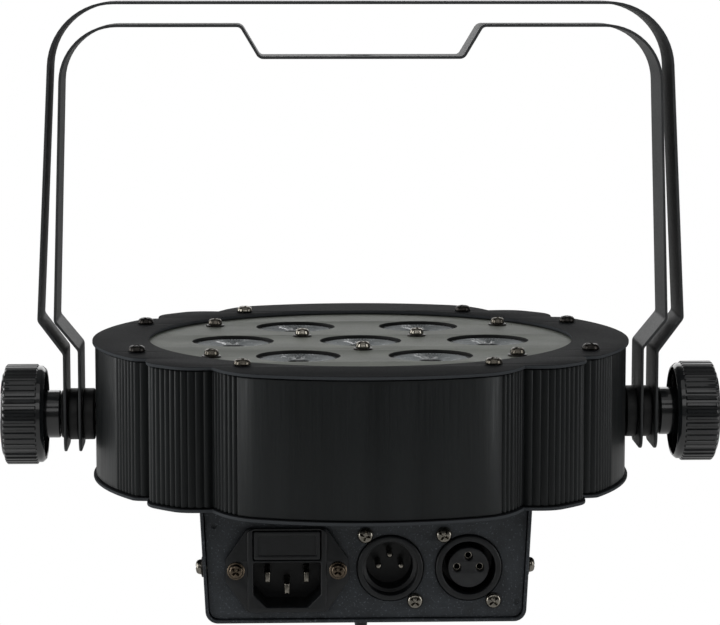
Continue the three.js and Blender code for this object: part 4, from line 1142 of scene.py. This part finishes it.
# Seen from the front: the socket below, the fuse drawer above it and a screw ear on each side
def makeInlet():
    cx, cz = inletCentre.x, inletCentre.z
    halfX, halfZ = inlet["bezelHalf"]
    face, seatFace = inletLow.y, panelFace - clearance
    socketLow = cz - halfZ + inlet["socketLow"]
    socketHigh = socketLow + inlet["socketHeight"]
    half, chamfer = inlet["socketHalf"], inlet["chamfer"]
    drawerLow = span("fuse_drawer")[0].z
    drawerHigh = drawerLow + inlet["drawerHeight"]
    ear, radius = inlet["earHalf"], inlet["bezelRadius"]
    tip, tipRadius = inlet["earTip"]
    ears = rounded([
        (cx - ear, cz - tip, tipRadius), (cx - halfX, cz - halfZ, radius), (cx + halfX, cz - halfZ, radius),
        (cx + ear, cz - tip, tipRadius), (cx + ear, cz + tip, tipRadius), (cx + halfX, cz + halfZ, radius),
        (cx - halfX, cz + halfZ, radius), (cx - ear, cz + tip, tipRadius),
    ])
    bezel = centredRectangle(cx, cz, halfX, halfZ, radius)
    socket = rounded([
        (cx - half + chamfer, socketLow, 0.8), (cx + half - chamfer, socketLow, 0.8),
        (cx + half, socketLow + chamfer, 0.8), (cx + half, socketHigh, 0.8),
        (cx - half, socketHigh, 0.8), (cx - half, socketLow + chamfer, 0.8),
    ], True, 4)
    wide = inlet["drawerHalf"] + clearance
    drawerWay = roundedRectangle(cx - wide, cx + wide, drawerLow - clearance, drawerHigh + clearance, 0.5)
    screwWays = [screwHole(cx + side * inletScrewHalf, cz, "close") for side in (-1, 1)]
    openings = [socket, drawerWay]
    earFace = seatFace - inlet["earFace"]
    floor = face + inlet["socketDepth"]
    bladeWays = []
    for which in blades:
        low, high = span("blade_" + which)
        bladeWays.append(roundedRectangle(low.x - 0.1, high.x + 0.1, low.z - 0.1, high.z + 0.1, 0.2, 2))
    back = panelFace + inlet["bodyDepth"]
    body = centredRectangle(cx, cz, *inlet["bodyHalf"], 0.8)
    wellFloor = span("fuse_drawer")[1].y + 0.6
    shells = [
        plate(bezel, openings, face, earFace, (0.5, 0), "y", 3),
        plate(ears, openings + screwWays, earFace, seatFace, (0.35, 0), "y"),
        plate(body, openings, seatFace, floor, (0, 0), "y"),
        plate(body, bladeWays + [drawerWay], floor, wellFloor, (0, 0), "y"),
        plate(body, bladeWays, wellFloor, back, (0, 0.4), "y"),
        # guide rib on the socket's roof and the lip under the drawer
        boxShell(cx - 1.6, cx + 1.6, floor - 9, floor + 0.2, socketHigh - 1.1, socketHigh + 0.2, 0.15),
        boxShell(cx - 5, cx + 5, face + 0.5, face + 2, socketHigh + 0.25, socketHigh + 0.7, 0.1),
    ]
    return makeMesh("mainsInlet", shells, finishes["satinMouldedThermoplastic"])


addPiece("mainsInlet", makeInlet(), "head", ["mains_inlet"])
inletScrew = makeScrewMesh("inletScrew", "inlet", "bronzedSteel")
earFace = panelFace - clearance - inlet["earFace"]
for name, side in (("inletScrewLeft", -1), ("inletScrewRight", 1)):
    addScrew(name, inletScrew, "front", (inletCentre.x + side * inletScrewHalf, earFace, inletCentre.z))

for which in blades:
    low, high = span("blade_" + which)
    section = roundedRectangle(low.x, high.x, low.z, high.z, 0.35, 3)
    blade = plate(section, [], low.y, high.y, (0.6, 0.1), "y", 4)
    addShells("blade" + which.title(), [blade], "nickelPlatedSteel", "head", ["blade_" + which])


# A framed front with the fuse's open trough behind it
def makeDrawer():
    low, high = span("fuse_drawer")
    x0, x1 = low.x, high.x
    face, back = low.y, high.y
    front = roundedRectangle(x0, x1, low.z, high.z, 0.7)
    panel = roundedRectangle(x0 + 1.5, x1 - 1.5, low.z + 1.4, high.z - 1.4, 0.6)
    fuseLow, fuseHigh = span("fuse")
    trough = roundedRectangle(
        fuseLow.x - clearance, fuseHigh.x + clearance, fuseLow.y - clearance, fuseHigh.y + clearance, 0.4, 3
    )
    tray = roundedRectangle(x0 + 0.6, x1 - 0.6, face + 2.7, back, 0.5, 3)
    troughLow = fuseLow.z - clearance
    return makeMesh("fuseDrawer", [
        plate(front, [panel], face, face + 0.5, (0.2, 0), "y"),
        plate(front, [], face + 0.5, face + 2.8, (0, 0), "y"),
        plate(tray, [], low.z + 0.4, troughLow, (0.2, 0)),
        plate(tray, [trough], troughLow, high.z - 0.4, (0, 0.2)),
    ], finishes["satinMouldedThermoplastic"])


addPiece("fuseDrawer", makeDrawer(), "fuse_drawer", ["fuse_drawer"])
fuseLow, fuseHigh = span("fuse")
fuseCentre = (fuseLow + fuseHigh) / 2
fuseRadius = (fuseHigh.z - fuseLow.z) / 2
fuseAt = (0, fuseCentre.y, fuseCentre.z)
glassRadius = fuseRadius * 0.9
glassLow, glassHigh = fuseLow.x + 0.5, fuseHigh.x - 0.5
glass = [(0, glassLow), (glassRadius, glassLow), (glassRadius, glassHigh), (0, glassHigh)]
addShells("fuseTube", [turned(glass, "x", fuseAt, 32)], "fuseGlass", "fuse_drawer", ["fuse"])
capLength = 5
caps = []
for start, end in ((fuseLow.x, fuseLow.x + capLength), (fuseHigh.x - capLength, fuseHigh.x)):
    caps.append(turned(rounded(
        [(0, start, 0), (fuseRadius, start, 0.4), (fuseRadius, end, 0.4), (0, end, 0)], False, 3
    ), "x", fuseAt, 40))
addShells("fuseCaps", caps, "nickelPlatedSteel", "fuse_drawer")

print("signal connectors")
connectors = {
    "radius": 11.8,
    "cupRadius": 9.8,
    "floorRadius": 8.4,
    "cupDepth": 15,
    "insertRadius": 7.3,
    "flange": (13, 15.5, 2.4),
    "socketRadius": 1.55,
}
connectorFace = panelFace - 1
contactWays = [(-4.1, 0), (4.1, 0), (0, 4.1)]


# Square flange behind the panel, round the barrel
def connectorFlange(centre):
    halfX, halfZ, thick = connectors["flange"]
    outline = centredRectangle(centre.x, centre.z, halfX, halfZ, 3)
    holes = [screwHole(centre.x + dx, centre.z + dz, "close") for dx, dz in connectorScrews]
    holes.append(circle(centre.x, centre.z, connectors["radius"] - 0.6, 96))
    face = panelBack + clearance
    return plate(outline, holes, face, face + thick, (0.2, 0.2), "y")


def makeMaleConnector():
    radius, cup, floorRadius = connectors["radius"], connectors["cupRadius"], connectors["floorRadius"]
    floor = connectorFace + connectors["cupDepth"]
    at = (maleCentre.x, 0, maleCentre.z)
    barrel = turned(rounded([
        (0, floor, 0), (floorRadius, floor, 0.3), (floorRadius, connectorFace + 5.6, 0.2),
        (cup, connectorFace + 5, 0.2), (cup, connectorFace, 0.35), (radius, connectorFace, 0.6),
        (radius, floor + 5, 0.3), (0, floor + 5, 0),
    ], False, 4), "y", at, 96)
    shells = [connectorFlange(maleCentre), barrel]
    return makeMesh("maleConnector", shells, finishes["satinMouldedThermoplastic"])


def makeFemaleConnector():
    radius, cup, insert = connectors["radius"], connectors["cupRadius"] - 0.2, connectors["insertRadius"]
    floor = connectorFace + connectors["cupDepth"]
    at = (femaleCentre.x, 0, femaleCentre.z)
    barrel = turned(rounded([
        (0, floor, 0), (cup, floor, 0.3), (cup, connectorFace, 0.35), (radius, connectorFace, 0.6),
        (radius, floor + 5, 0.3), (0, floor + 5, 0),
    ], False, 4), "y", at, 96)
    shells = [connectorFlange(femaleCentre), barrel]
    shell = makeMesh("femaleConnector", shells, finishes["satinMouldedThermoplastic"])
    ways = [circle(at[0] + dx, at[2] + dz, connectors["socketRadius"], 32) for dx, dz in contactWays]
    # the insert stands free in the cup, with its three ways closed at the back
    outline = circle(at[0], at[2], insert, 96)
    insertMesh = makeMesh("femaleInsert", [
        plate(outline, ways, connectorFace + 0.8, floor - 2, (0.45, 0), "y", 3),
        plate(outline, [], floor - 2, floor + 0.2, (0, 0), "y"),
    ], finishes["greyMouldedInsert"])
    near, far = connectorFace + 3.2, floor - 2.2
    rim = rounded([(1.0, near, 0.1), (1.5, near, 0.15), (1.5, far, 0), (1.0, far, 0)], True, 2)
    rims = [turned(rim, "y", (at[0] + dx, 0, at[2] + dz), 32) for dx, dz in contactWays]
    return shell, insertMesh, makeMesh("femaleContacts", rims, finishes["nickelPlatedSteel"])


addPiece("maleConnector", makeMaleConnector(), "head", ["male_connector"])
shell, insertMesh, rimMesh = makeFemaleConnector()
addPiece("femaleConnector", shell, "head", ["female_connector"])
addPiece("femaleInsert", insertMesh, "head")
addPiece("femaleContacts", rimMesh, "head")
for i in range(3):
    low, high = span(f"connector_pin_{i + 1}")
    centre = (low + high) / 2
    radius = (high.x - low.x) / 2
    pin = turned(rounded([
        (0, low.y, 0), (radius, low.y, radius * 0.8), (radius, high.y, 0.2), (0, high.y, 0)
    ], False, 5), "y", (centre.x, 0, centre.z), 32)
    name, node = f"connectorPin{i + 1}", f"connector_pin_{i + 1}"
    addShells(name, [pin], "nickelPlatedSteel", "head", [node])
panelScrew = makeScrewMesh("panelScrew", "panel", "nickelPlatedSteel")
for kind, centre in (("male", maleCentre), ("female", femaleCentre)):
    for end, (dx, dz) in zip(("Upper", "Lower"), connectorScrews):
        addScrew(f"{kind}Screw{end}", panelScrew, "front", (centre.x + dx, panelFace, centre.z + dz))

print("controls")
controls = {
    "paneEdge": 0.35,
    "buttonDish": 0.35,
    "digitHeight": 8.4,
    "digitPitch": 7.4,
    "stroke": 0.9,
    "segmentGap": 0.5,
}
pane = centredRectangle(0, windowCentre.z, paneHalfX, paneHalfZ, 1)
lip = roundedRectangle(windowLow.x, windowHigh.x, windowLow.z, windowHigh.z, 1.5)
lipFace = farBack - clearance
addShells("displayWindow", [
    plate(pane, [], lipFace, windowHigh.y, (0, controls["paneEdge"]), "y", 3),
    plate(lip, [], windowLow.y, lipFace, (0.1, 0), "y"),
], "smokedAcrylic", "head", ["display_window"])


# A bar with pointed ends, as (along, across)
def segment(start, end, across):
    tip = controls["stroke"] / 2
    start += controls["segmentGap"]
    end -= controls["segmentGap"]
    return [(start, across), (start + tip, across - tip), (end - tip, across - tip),
            (end, across), (end - tip, across + tip), (start + tip, across + tip)]


# Four unlit seven-segment digits behind the window
def makeDigits():
    bars = []
    high, wide = controls["digitHeight"] / 2, controls["digitHeight"] / 4
    face = span("control_board")[1].y
    for i in range(4):
        x = (1.5 - i) * controls["digitPitch"]
        for dz in (-high, 0, high):
            bars.append(segment(x - wide, x + wide, windowCentre.z + dz))
        for dx in (-wide, wide):
            for foot in (windowCentre.z - high, windowCentre.z):
                bars.append([(across, along) for along, across in segment(foot, foot + high, x + dx)])
    return [plate(bar, [], face - 0.2, face + 0.1, (0, 0), "y") for bar in bars]


addShells("displayDigits", makeDigits(), "greyMattPaint", "head")
for i, centre in enumerate(buttonPlaces):
    low, high = span(f"button_{i + 1}")
    collar = (high.x - low.x) / 2
    radius = collar - 1.2
    button = turned(rounded([
        (0, low.y, 0), (collar, low.y, 0.2), (collar, lipFace, 0.2), (radius, lipFace, 0.1),
        (radius, high.y, 0.6), (radius * 0.6, high.y, 0.5), (0, high.y - controls["buttonDish"], 0),
    ], False, 4), "y", (centre.x, 0, centre.z), 64)
    body = f"button_{i + 1}"
    addShells(f"button{i + 1}", [button], "satinMouldedThermoplastic", body, [body])
# (board, axis it faces along, its underside and its top from the node's low side)
for node, axis, under, over in (
    ("power_board", 2, 4.8, 6.7),
    ("driver_board", 2, 4.8, 6.7),
    ("control_board", 1, -1, 1.7),
):
    foot = span(node)[0][axis]
    mask = makeSolderMask(node + "SolderMask", foot + under, foot + over, axis)
    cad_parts[node].material_slots[0].material = mask

print("clamp stacks")
knob = {
    "radius": 18.7,
    "flutes": 46,
    "fluteDepth": 0.7,
    "band": 2.6,  # smooth rim before the flutes
    "rimLength": 15,
    "neckLength": 5.5,
    "chamfer": 1.5,
    "wall": 2.2,
    "neckRadius": 8.9,
    "capInset": 2.9,
    "webs": 6,
    "webHalf": 0.9,
    "boltRadius": 4,
}


# Ring about X with rounded edges and a bore round the bolt
def clampRing(node, edge):
    low, high = span(node)
    radius = (high.z - low.z) / 2
    bore = knob["boltRadius"] + clearance
    return turned(rounded([
        (bore, low.x, 0.2), (radius, low.x, edge), (radius, high.x, edge), (bore, high.x, 0.2)
    ], True, 4), "x", (0, 0, pivotZ), 80)


# Fluted rim on a hollow hub with webs between them, closed by a dished cap, and the bolt
def makeKnob(side):
    low, high = span(f"knob_{side}")
    washerLow, washerHigh = span(f"washer_{side}")
    start = (washerHigh.x if side == "right" else -washerLow.x) + clearance
    tip = low.x if side == "right" else -high.x
    radius, depth, chamfer = knob["radius"], knob["fluteDepth"], knob["chamfer"]
    rimLow = start + knob["neckLength"]
    rimHigh = rimLow + knob["rimLength"]
    neck, hollow = knob["neckRadius"], radius - knob["wall"]
    band, cap = radius - depth, radius - knob["capInset"]
    flutes = rimLow + knob["band"]
    # (distance out, radius, share of the flutes): the hub, the hollow, the rim and the cap
    section = [
        (start, knob["boltRadius"], 0), (start, neck - 0.5, 0), (start + 0.5, neck, 0),
        (rimHigh - 3.3, neck, 0), (rimHigh - 3, neck + 0.4, 0), (rimHigh - 3, hollow - 0.5, 0),
        (rimHigh - 3.5, hollow, 0), (rimLow + 0.3, hollow, 0), (rimLow, hollow + 0.3, 0),
        (rimLow, band - chamfer + 0.2, 0), (rimLow + 0.1, band - chamfer + 0.4, 0),
        (rimLow + chamfer - 0.3, band - 0.1, 0), (rimLow + chamfer, band, 0), (flutes, band, 0),
        (flutes + 0.15, band + 0.05, 0), (flutes + 0.5, radius - 0.1, 0.9), (flutes + 0.8, radius, 1),
        (rimHigh - 0.9, radius, 1), (rimHigh - 0.6, radius - 0.12, 0.9),
        (rimHigh - 0.1, radius - 0.7, 0.15), (rimHigh, radius - 0.9, 0),
        (rimHigh, cap + 0.5, 0), (rimHigh - 0.35, cap + 0.25, 0),
        (rimHigh - 0.35, cap, 0), (rimHigh + 0.6, cap - 0.1, 0), (rimHigh + 1.0, cap - 0.6, 0),
        (rimHigh + 1.6, cap * 0.7, 0), (rimHigh + 1.75, cap * 0.45, 0), (rimHigh + 1.4, cap * 0.4, 0),
        (rimHigh + 1.4, 0, 0),
    ]
    rings = []
    count = knob["flutes"] * 12
    sign = 1 if side == "right" else -1
    for x, ringRadius, share in section:
        if ringRadius < tiny:
            rings.append([(sign * x, 0, pivotZ)])
            continue
        ring = []
        for i in range(count):
            turn = 2 * math.pi * i / count
            groove = min(1, max(0, 0.5 - 1.3 * math.cos(math.pi * i / 6)))
            reach = ringRadius - depth * share * groove
            ring.append((sign * x, reach * math.cos(turn), pivotZ + reach * math.sin(turn)))
        rings.append(ring)
    shells = [lofted(rings)]
    bolt, root = knob["boltRadius"], start + 0.6
    stem = [(0, tip), (bolt - 0.6, tip), (bolt, tip + 0.6), (bolt, root), (0, root)]
    shells.append(turned([(across, sign * out) for across, out in stem], "x", (0, 0, pivotZ), 40))
    inner, outer, half = neck - 0.6, hollow + 0.4, knob["webHalf"]
    for i in range(knob["webs"]):
        web = boxShell(rimLow + 3.5, rimHigh - 2.8, inner, outer, -half, half, 0.25)
        swing = Matrix.Rotation(2 * math.pi * i / knob["webs"], 3, "X")
        points = []
        for point in web[0]:
            place = swing @ point
            points.append(Vector((sign * place.x, place.y, place.z + pivotZ)))
        shells.append((points, web[1]))
    return makeMesh(f"knob{side.title()}", shells, finishes["glossMouldedNylon"], sharpAngle=30)


for side in ("left", "right"):
    for piece, part, body, edge in (
        ("innerSpacer", "inner_spacer", "head", 0.6),
        ("middleSpacer", "middle_spacer", "outer_yoke", 0.7),
        ("clampWasher", "washer", f"knob_{side}", 0.5),
    ):
        node = f"{part}_{side}"
        ring = clampRing(node, edge)
        addShells(piece + side.title(), [ring], "mattBlackRubber", body, [node])
    addPiece(f"knob{side.title()}", makeKnob(side), f"knob_{side}", [f"knob_{side}"])

print("yokes")
yokes = {
    "thickness": 1,
    "width": 27,
    "foot": 12.7,
    "footRadius": 5,
    "edge": 0.22,
    "bend": 2.5,
    "pivotHole": 4.3,
    "clampHole": 5.5,
}
outerYoke = {
    "inside": "middle_spacer_right",
    "spread": 9.2,
    "bends": (24.3, 36.7),  # heights above the knobs where the leg steps out
    "lean": 5.9,
    "top": 153.5,
    "corner": 24,
    "dip": None,
}
innerYoke = {
    "inside": "inner_spacer_right",
    "spread": 8.7,
    "bends": (25.6, 36.3),
    "lean": 3.5,
    "top": 145.2,
    "corner": 21,
    "dip": (44.2, 37.3, 11.6),  # half width at its mouth and floor, and depth
}


# Half of the strap's line, mirrored and bent from a flat strip with three holes
def makeYoke(name, look):
    legX = span(look["inside"])[1].x + clearance + yokes["thickness"] / 2
    wideX = legX + look["spread"]
    top = look["top"] - yokes["thickness"] / 2
    first, second = look["bends"]
    bend = yokes["bend"]
    right = [(legX, -yokes["foot"], 0), (legX, first, bend), (wideX, second, bend)]
    right.append((wideX - look["lean"], top, look["corner"]))
    if look["dip"]:
        dipTop, dipBottom, depth = look["dip"]
        right += [(dipTop, top, bend), (dipBottom, top - depth, bend)]
    corners = right + [(-x, z, radius) for x, z, radius in right[::-1]]
    stations = pathStations([(x, z + pivotZ, radius) for x, z, radius in corners], 14)
    length = stations[-1][0]
    wide = yokes["width"] / 2
    outline = roundedRectangle(0, length, -wide, wide, yokes["footRadius"], 8)
    holes = [circle(s, 0, yokes["pivotHole"], 48) for s in (yokes["foot"], length - yokes["foot"])]
    holes.append(circle(length / 2, 0, yokes["clampHole"], 48))
    strip = bentStrip(outline, holes, stations, yokes["thickness"], yokes["edge"])
    return makeMesh(name, [strip], finishes["greyPowderCoat"], sharpAngle=40)


addPiece("outerYoke", makeYoke("outer_yoke", outerYoke), "outer_yoke", ["outer_yoke"])
addPiece("innerYoke", makeYoke("inner_yoke", innerYoke), "inner_yoke", ["inner_yoke"])

print("safety eye")
safetyEye = {"wire": 2.25, "plate": 1.5, "span": 24, "rivetAt": 15, "rivet": 2}


# A wire loop welded under a small plate that two rivets hold
def makeSafetyEye():
    low, high = span("safety_eye")
    top = high.z
    wire = safetyEye["wire"]
    half = safetyEye["span"] / 2 - wire
    bottom = low.z + wire
    outline = roundedRectangle(low.x, high.x, low.y, high.y, 3)
    base = plate(outline, [], top - safetyEye["plate"], top, (0.3, 0.1))
    centreLine = rounded([
        (-half, top - 0.4, 0), (-half, top - 4, 1.5), (-half - 0.2, bottom + 5, 1),
        (-half * 0.62, bottom, 6), (half * 0.62, bottom, 6),
        (half + 0.2, bottom + 5, 1), (half, top - 4, 1.5), (half, top - 0.4, 0),
    ], False, 8)
    rings = []
    for i, (y, z) in enumerate(centreLine):
        before = Vector(centreLine[max(i - 1, 0)])
        after = Vector(centreLine[min(i + 1, len(centreLine) - 1)])
        along = (after - before).normalized()
        rings.append([(u, y - along.y * v, z + along.x * v) for u, v in circle(0, 0, wire, 24)])
    shank, rim = safetyEye["rivet"], safetyEye["rivet"] * 1.6
    head = rounded([
        (0, top - 1.7, 0), (rim, top - 1.7, 0.1), (rim, top - 2.1, 0.3),
        (shank, top - 2.8, 0.8), (0, top - 3, 0),
    ], False, 4)
    rivets = [turned(head, "z", (0, side * safetyEye["rivetAt"], 0), 32) for side in (-1, 1)]
    return [base, lofted(rings)] + rivets


addShells("safetyEye", makeSafetyEye(), "blackenedSteel", "head", ["safety_eye"])

print("stage and lights")
stage = {
    "floorDrop": 0.1,  # the lamp hangs, and its inner yoke can swing below it
    "floorSize": 6,
    "floorTones": ("#f1f1f0", "#f7f7f6"),
    "mottleSize": 100,
    "worldSeen": 1.0,
    "worldLight": 0.09,
    "key": 5.2,
    "fill": 4.6,
    "front": 2.7,
    "upper": 2.5,
    "leftRim": 6,
    "top": 0.8,
    "back": 9,
}
# Matt white paint, faintly mottled
floorLook = {"Roughness": 0.8, "IOR": 1.45}
floorMaterial, floorTree, floorShader, floorPlace = startFinish("palePaintedFloor", floorLook)
mottle = noise(floorTree, floorPlace, stage["mottleSize"], 2)
floorTone = mixed(floorTree, mottle, *stage["floorTones"])
floorTree.links.new(floorTone, floorShader.inputs["Base Color"])
# the floor glows to the eye alone, as a brightly lit white sweep does
glow = addNode(floorTree, "ShaderNodeEmission", {"Color": linear("#ffffff")})
floorRays = addNode(floorTree, "ShaderNodeLightPath")
sweep = addNode(
    floorTree,
    "ShaderNodeMixShader",
    {},
    {0: floorRays.outputs["Is Camera Ray"], 1: floorShader.outputs[0], 2: glow.outputs[0]},
)
# from below it is clear, so that the lamp's underside can be seen
clearUnder = addNode(floorTree, "ShaderNodeBsdfTransparent")
underside = addNode(floorTree, "ShaderNodeNewGeometry")
oneSided = addNode(
    floorTree,
    "ShaderNodeMixShader",
    {},
    {0: underside.outputs["Backfacing"], 1: sweep.outputs[0], 2: clearUnder.outputs[0]},
)
floorTree.links.new(oneSided.outputs[0], floorTree.nodes["Material Output"].inputs["Surface"])
floorMesh = bpy.data.meshes.new("floor")
reach = stage["floorSize"]
floorZ = cadBox[0][2] - stage["floorDrop"]
floorMesh.from_pydata(
    [(-reach, -reach, floorZ), (reach, -reach, floorZ), (reach, reach, floorZ), (-reach, reach, floorZ)],
    [], [(0, 1, 2, 3)]
)
floorMesh.materials.append(floorMaterial)
floor = bpy.data.objects.new("floor", floorMesh)
scene.collection.objects.link(floor)

world = bpy.data.worlds.new("studio")
scene.world = world
world.use_nodes = True
sky = world.node_tree
background = sky.nodes["Background"]
rays = addNode(sky, "ShaderNodeLightPath")
# the white round the lamp is bright to look at and gives little light
strength = ranged(sky, rays.outputs["Is Camera Ray"], 0, 1, stage["worldLight"], stage["worldSeen"])
background.inputs["Color"].default_value = linear("#ffffff")
sky.links.new(strength, background.inputs["Strength"])

# Soft boxes as (name, place, target, width, height, watts), unseen by the eye
softBoxes = [
    ("leftBox", (-1.3, -0.55, 0.05), (0, 0, -0.12), 0.5, 1.2, stage["key"]),
    ("rightBox", (1.3, -0.5, 0.05), (0, 0, -0.12), 0.5, 1.2, stage["fill"]),
    ("leftRimBox", (-1.4, 0.5, 0.05), (0, 0, -0.12), 0.5, 1.2, stage["leftRim"]),
    ("frontBox", (0, -1.7, 0.75), (0, 0, -0.12), 2.4, 0.5, stage["front"]),
    ("upperBox", (0, -1.1, 1.3), (0, 0, -0.1), 2.6, 0.5, stage["upper"]),
    ("topBox", (0, -0.3, 1.2), (0, 0, -0.1), 1.2, 0.8, stage["top"]),
    ("backBox", (0, 1.6, 0.5), (0, 0, -0.1), 2.6, 1.0, stage["back"]),
]
for name, place, target, width, height, watts in softBoxes:
    light = bpy.data.lights.new(name, "AREA")
    light.shape = "RECTANGLE"
    light.size = width
    light.size_y = height
    light.energy = watts
    lamp = bpy.data.objects.new(name, light)
    lamp.location = place
    lamp.visible_camera = False
    lamp.rotation_euler = (Vector(target) - Vector(place)).to_track_quat("-Z", "Y").to_euler()
    scene.collection.objects.link(lamp)
scene.view_settings.view_transform = "Standard"
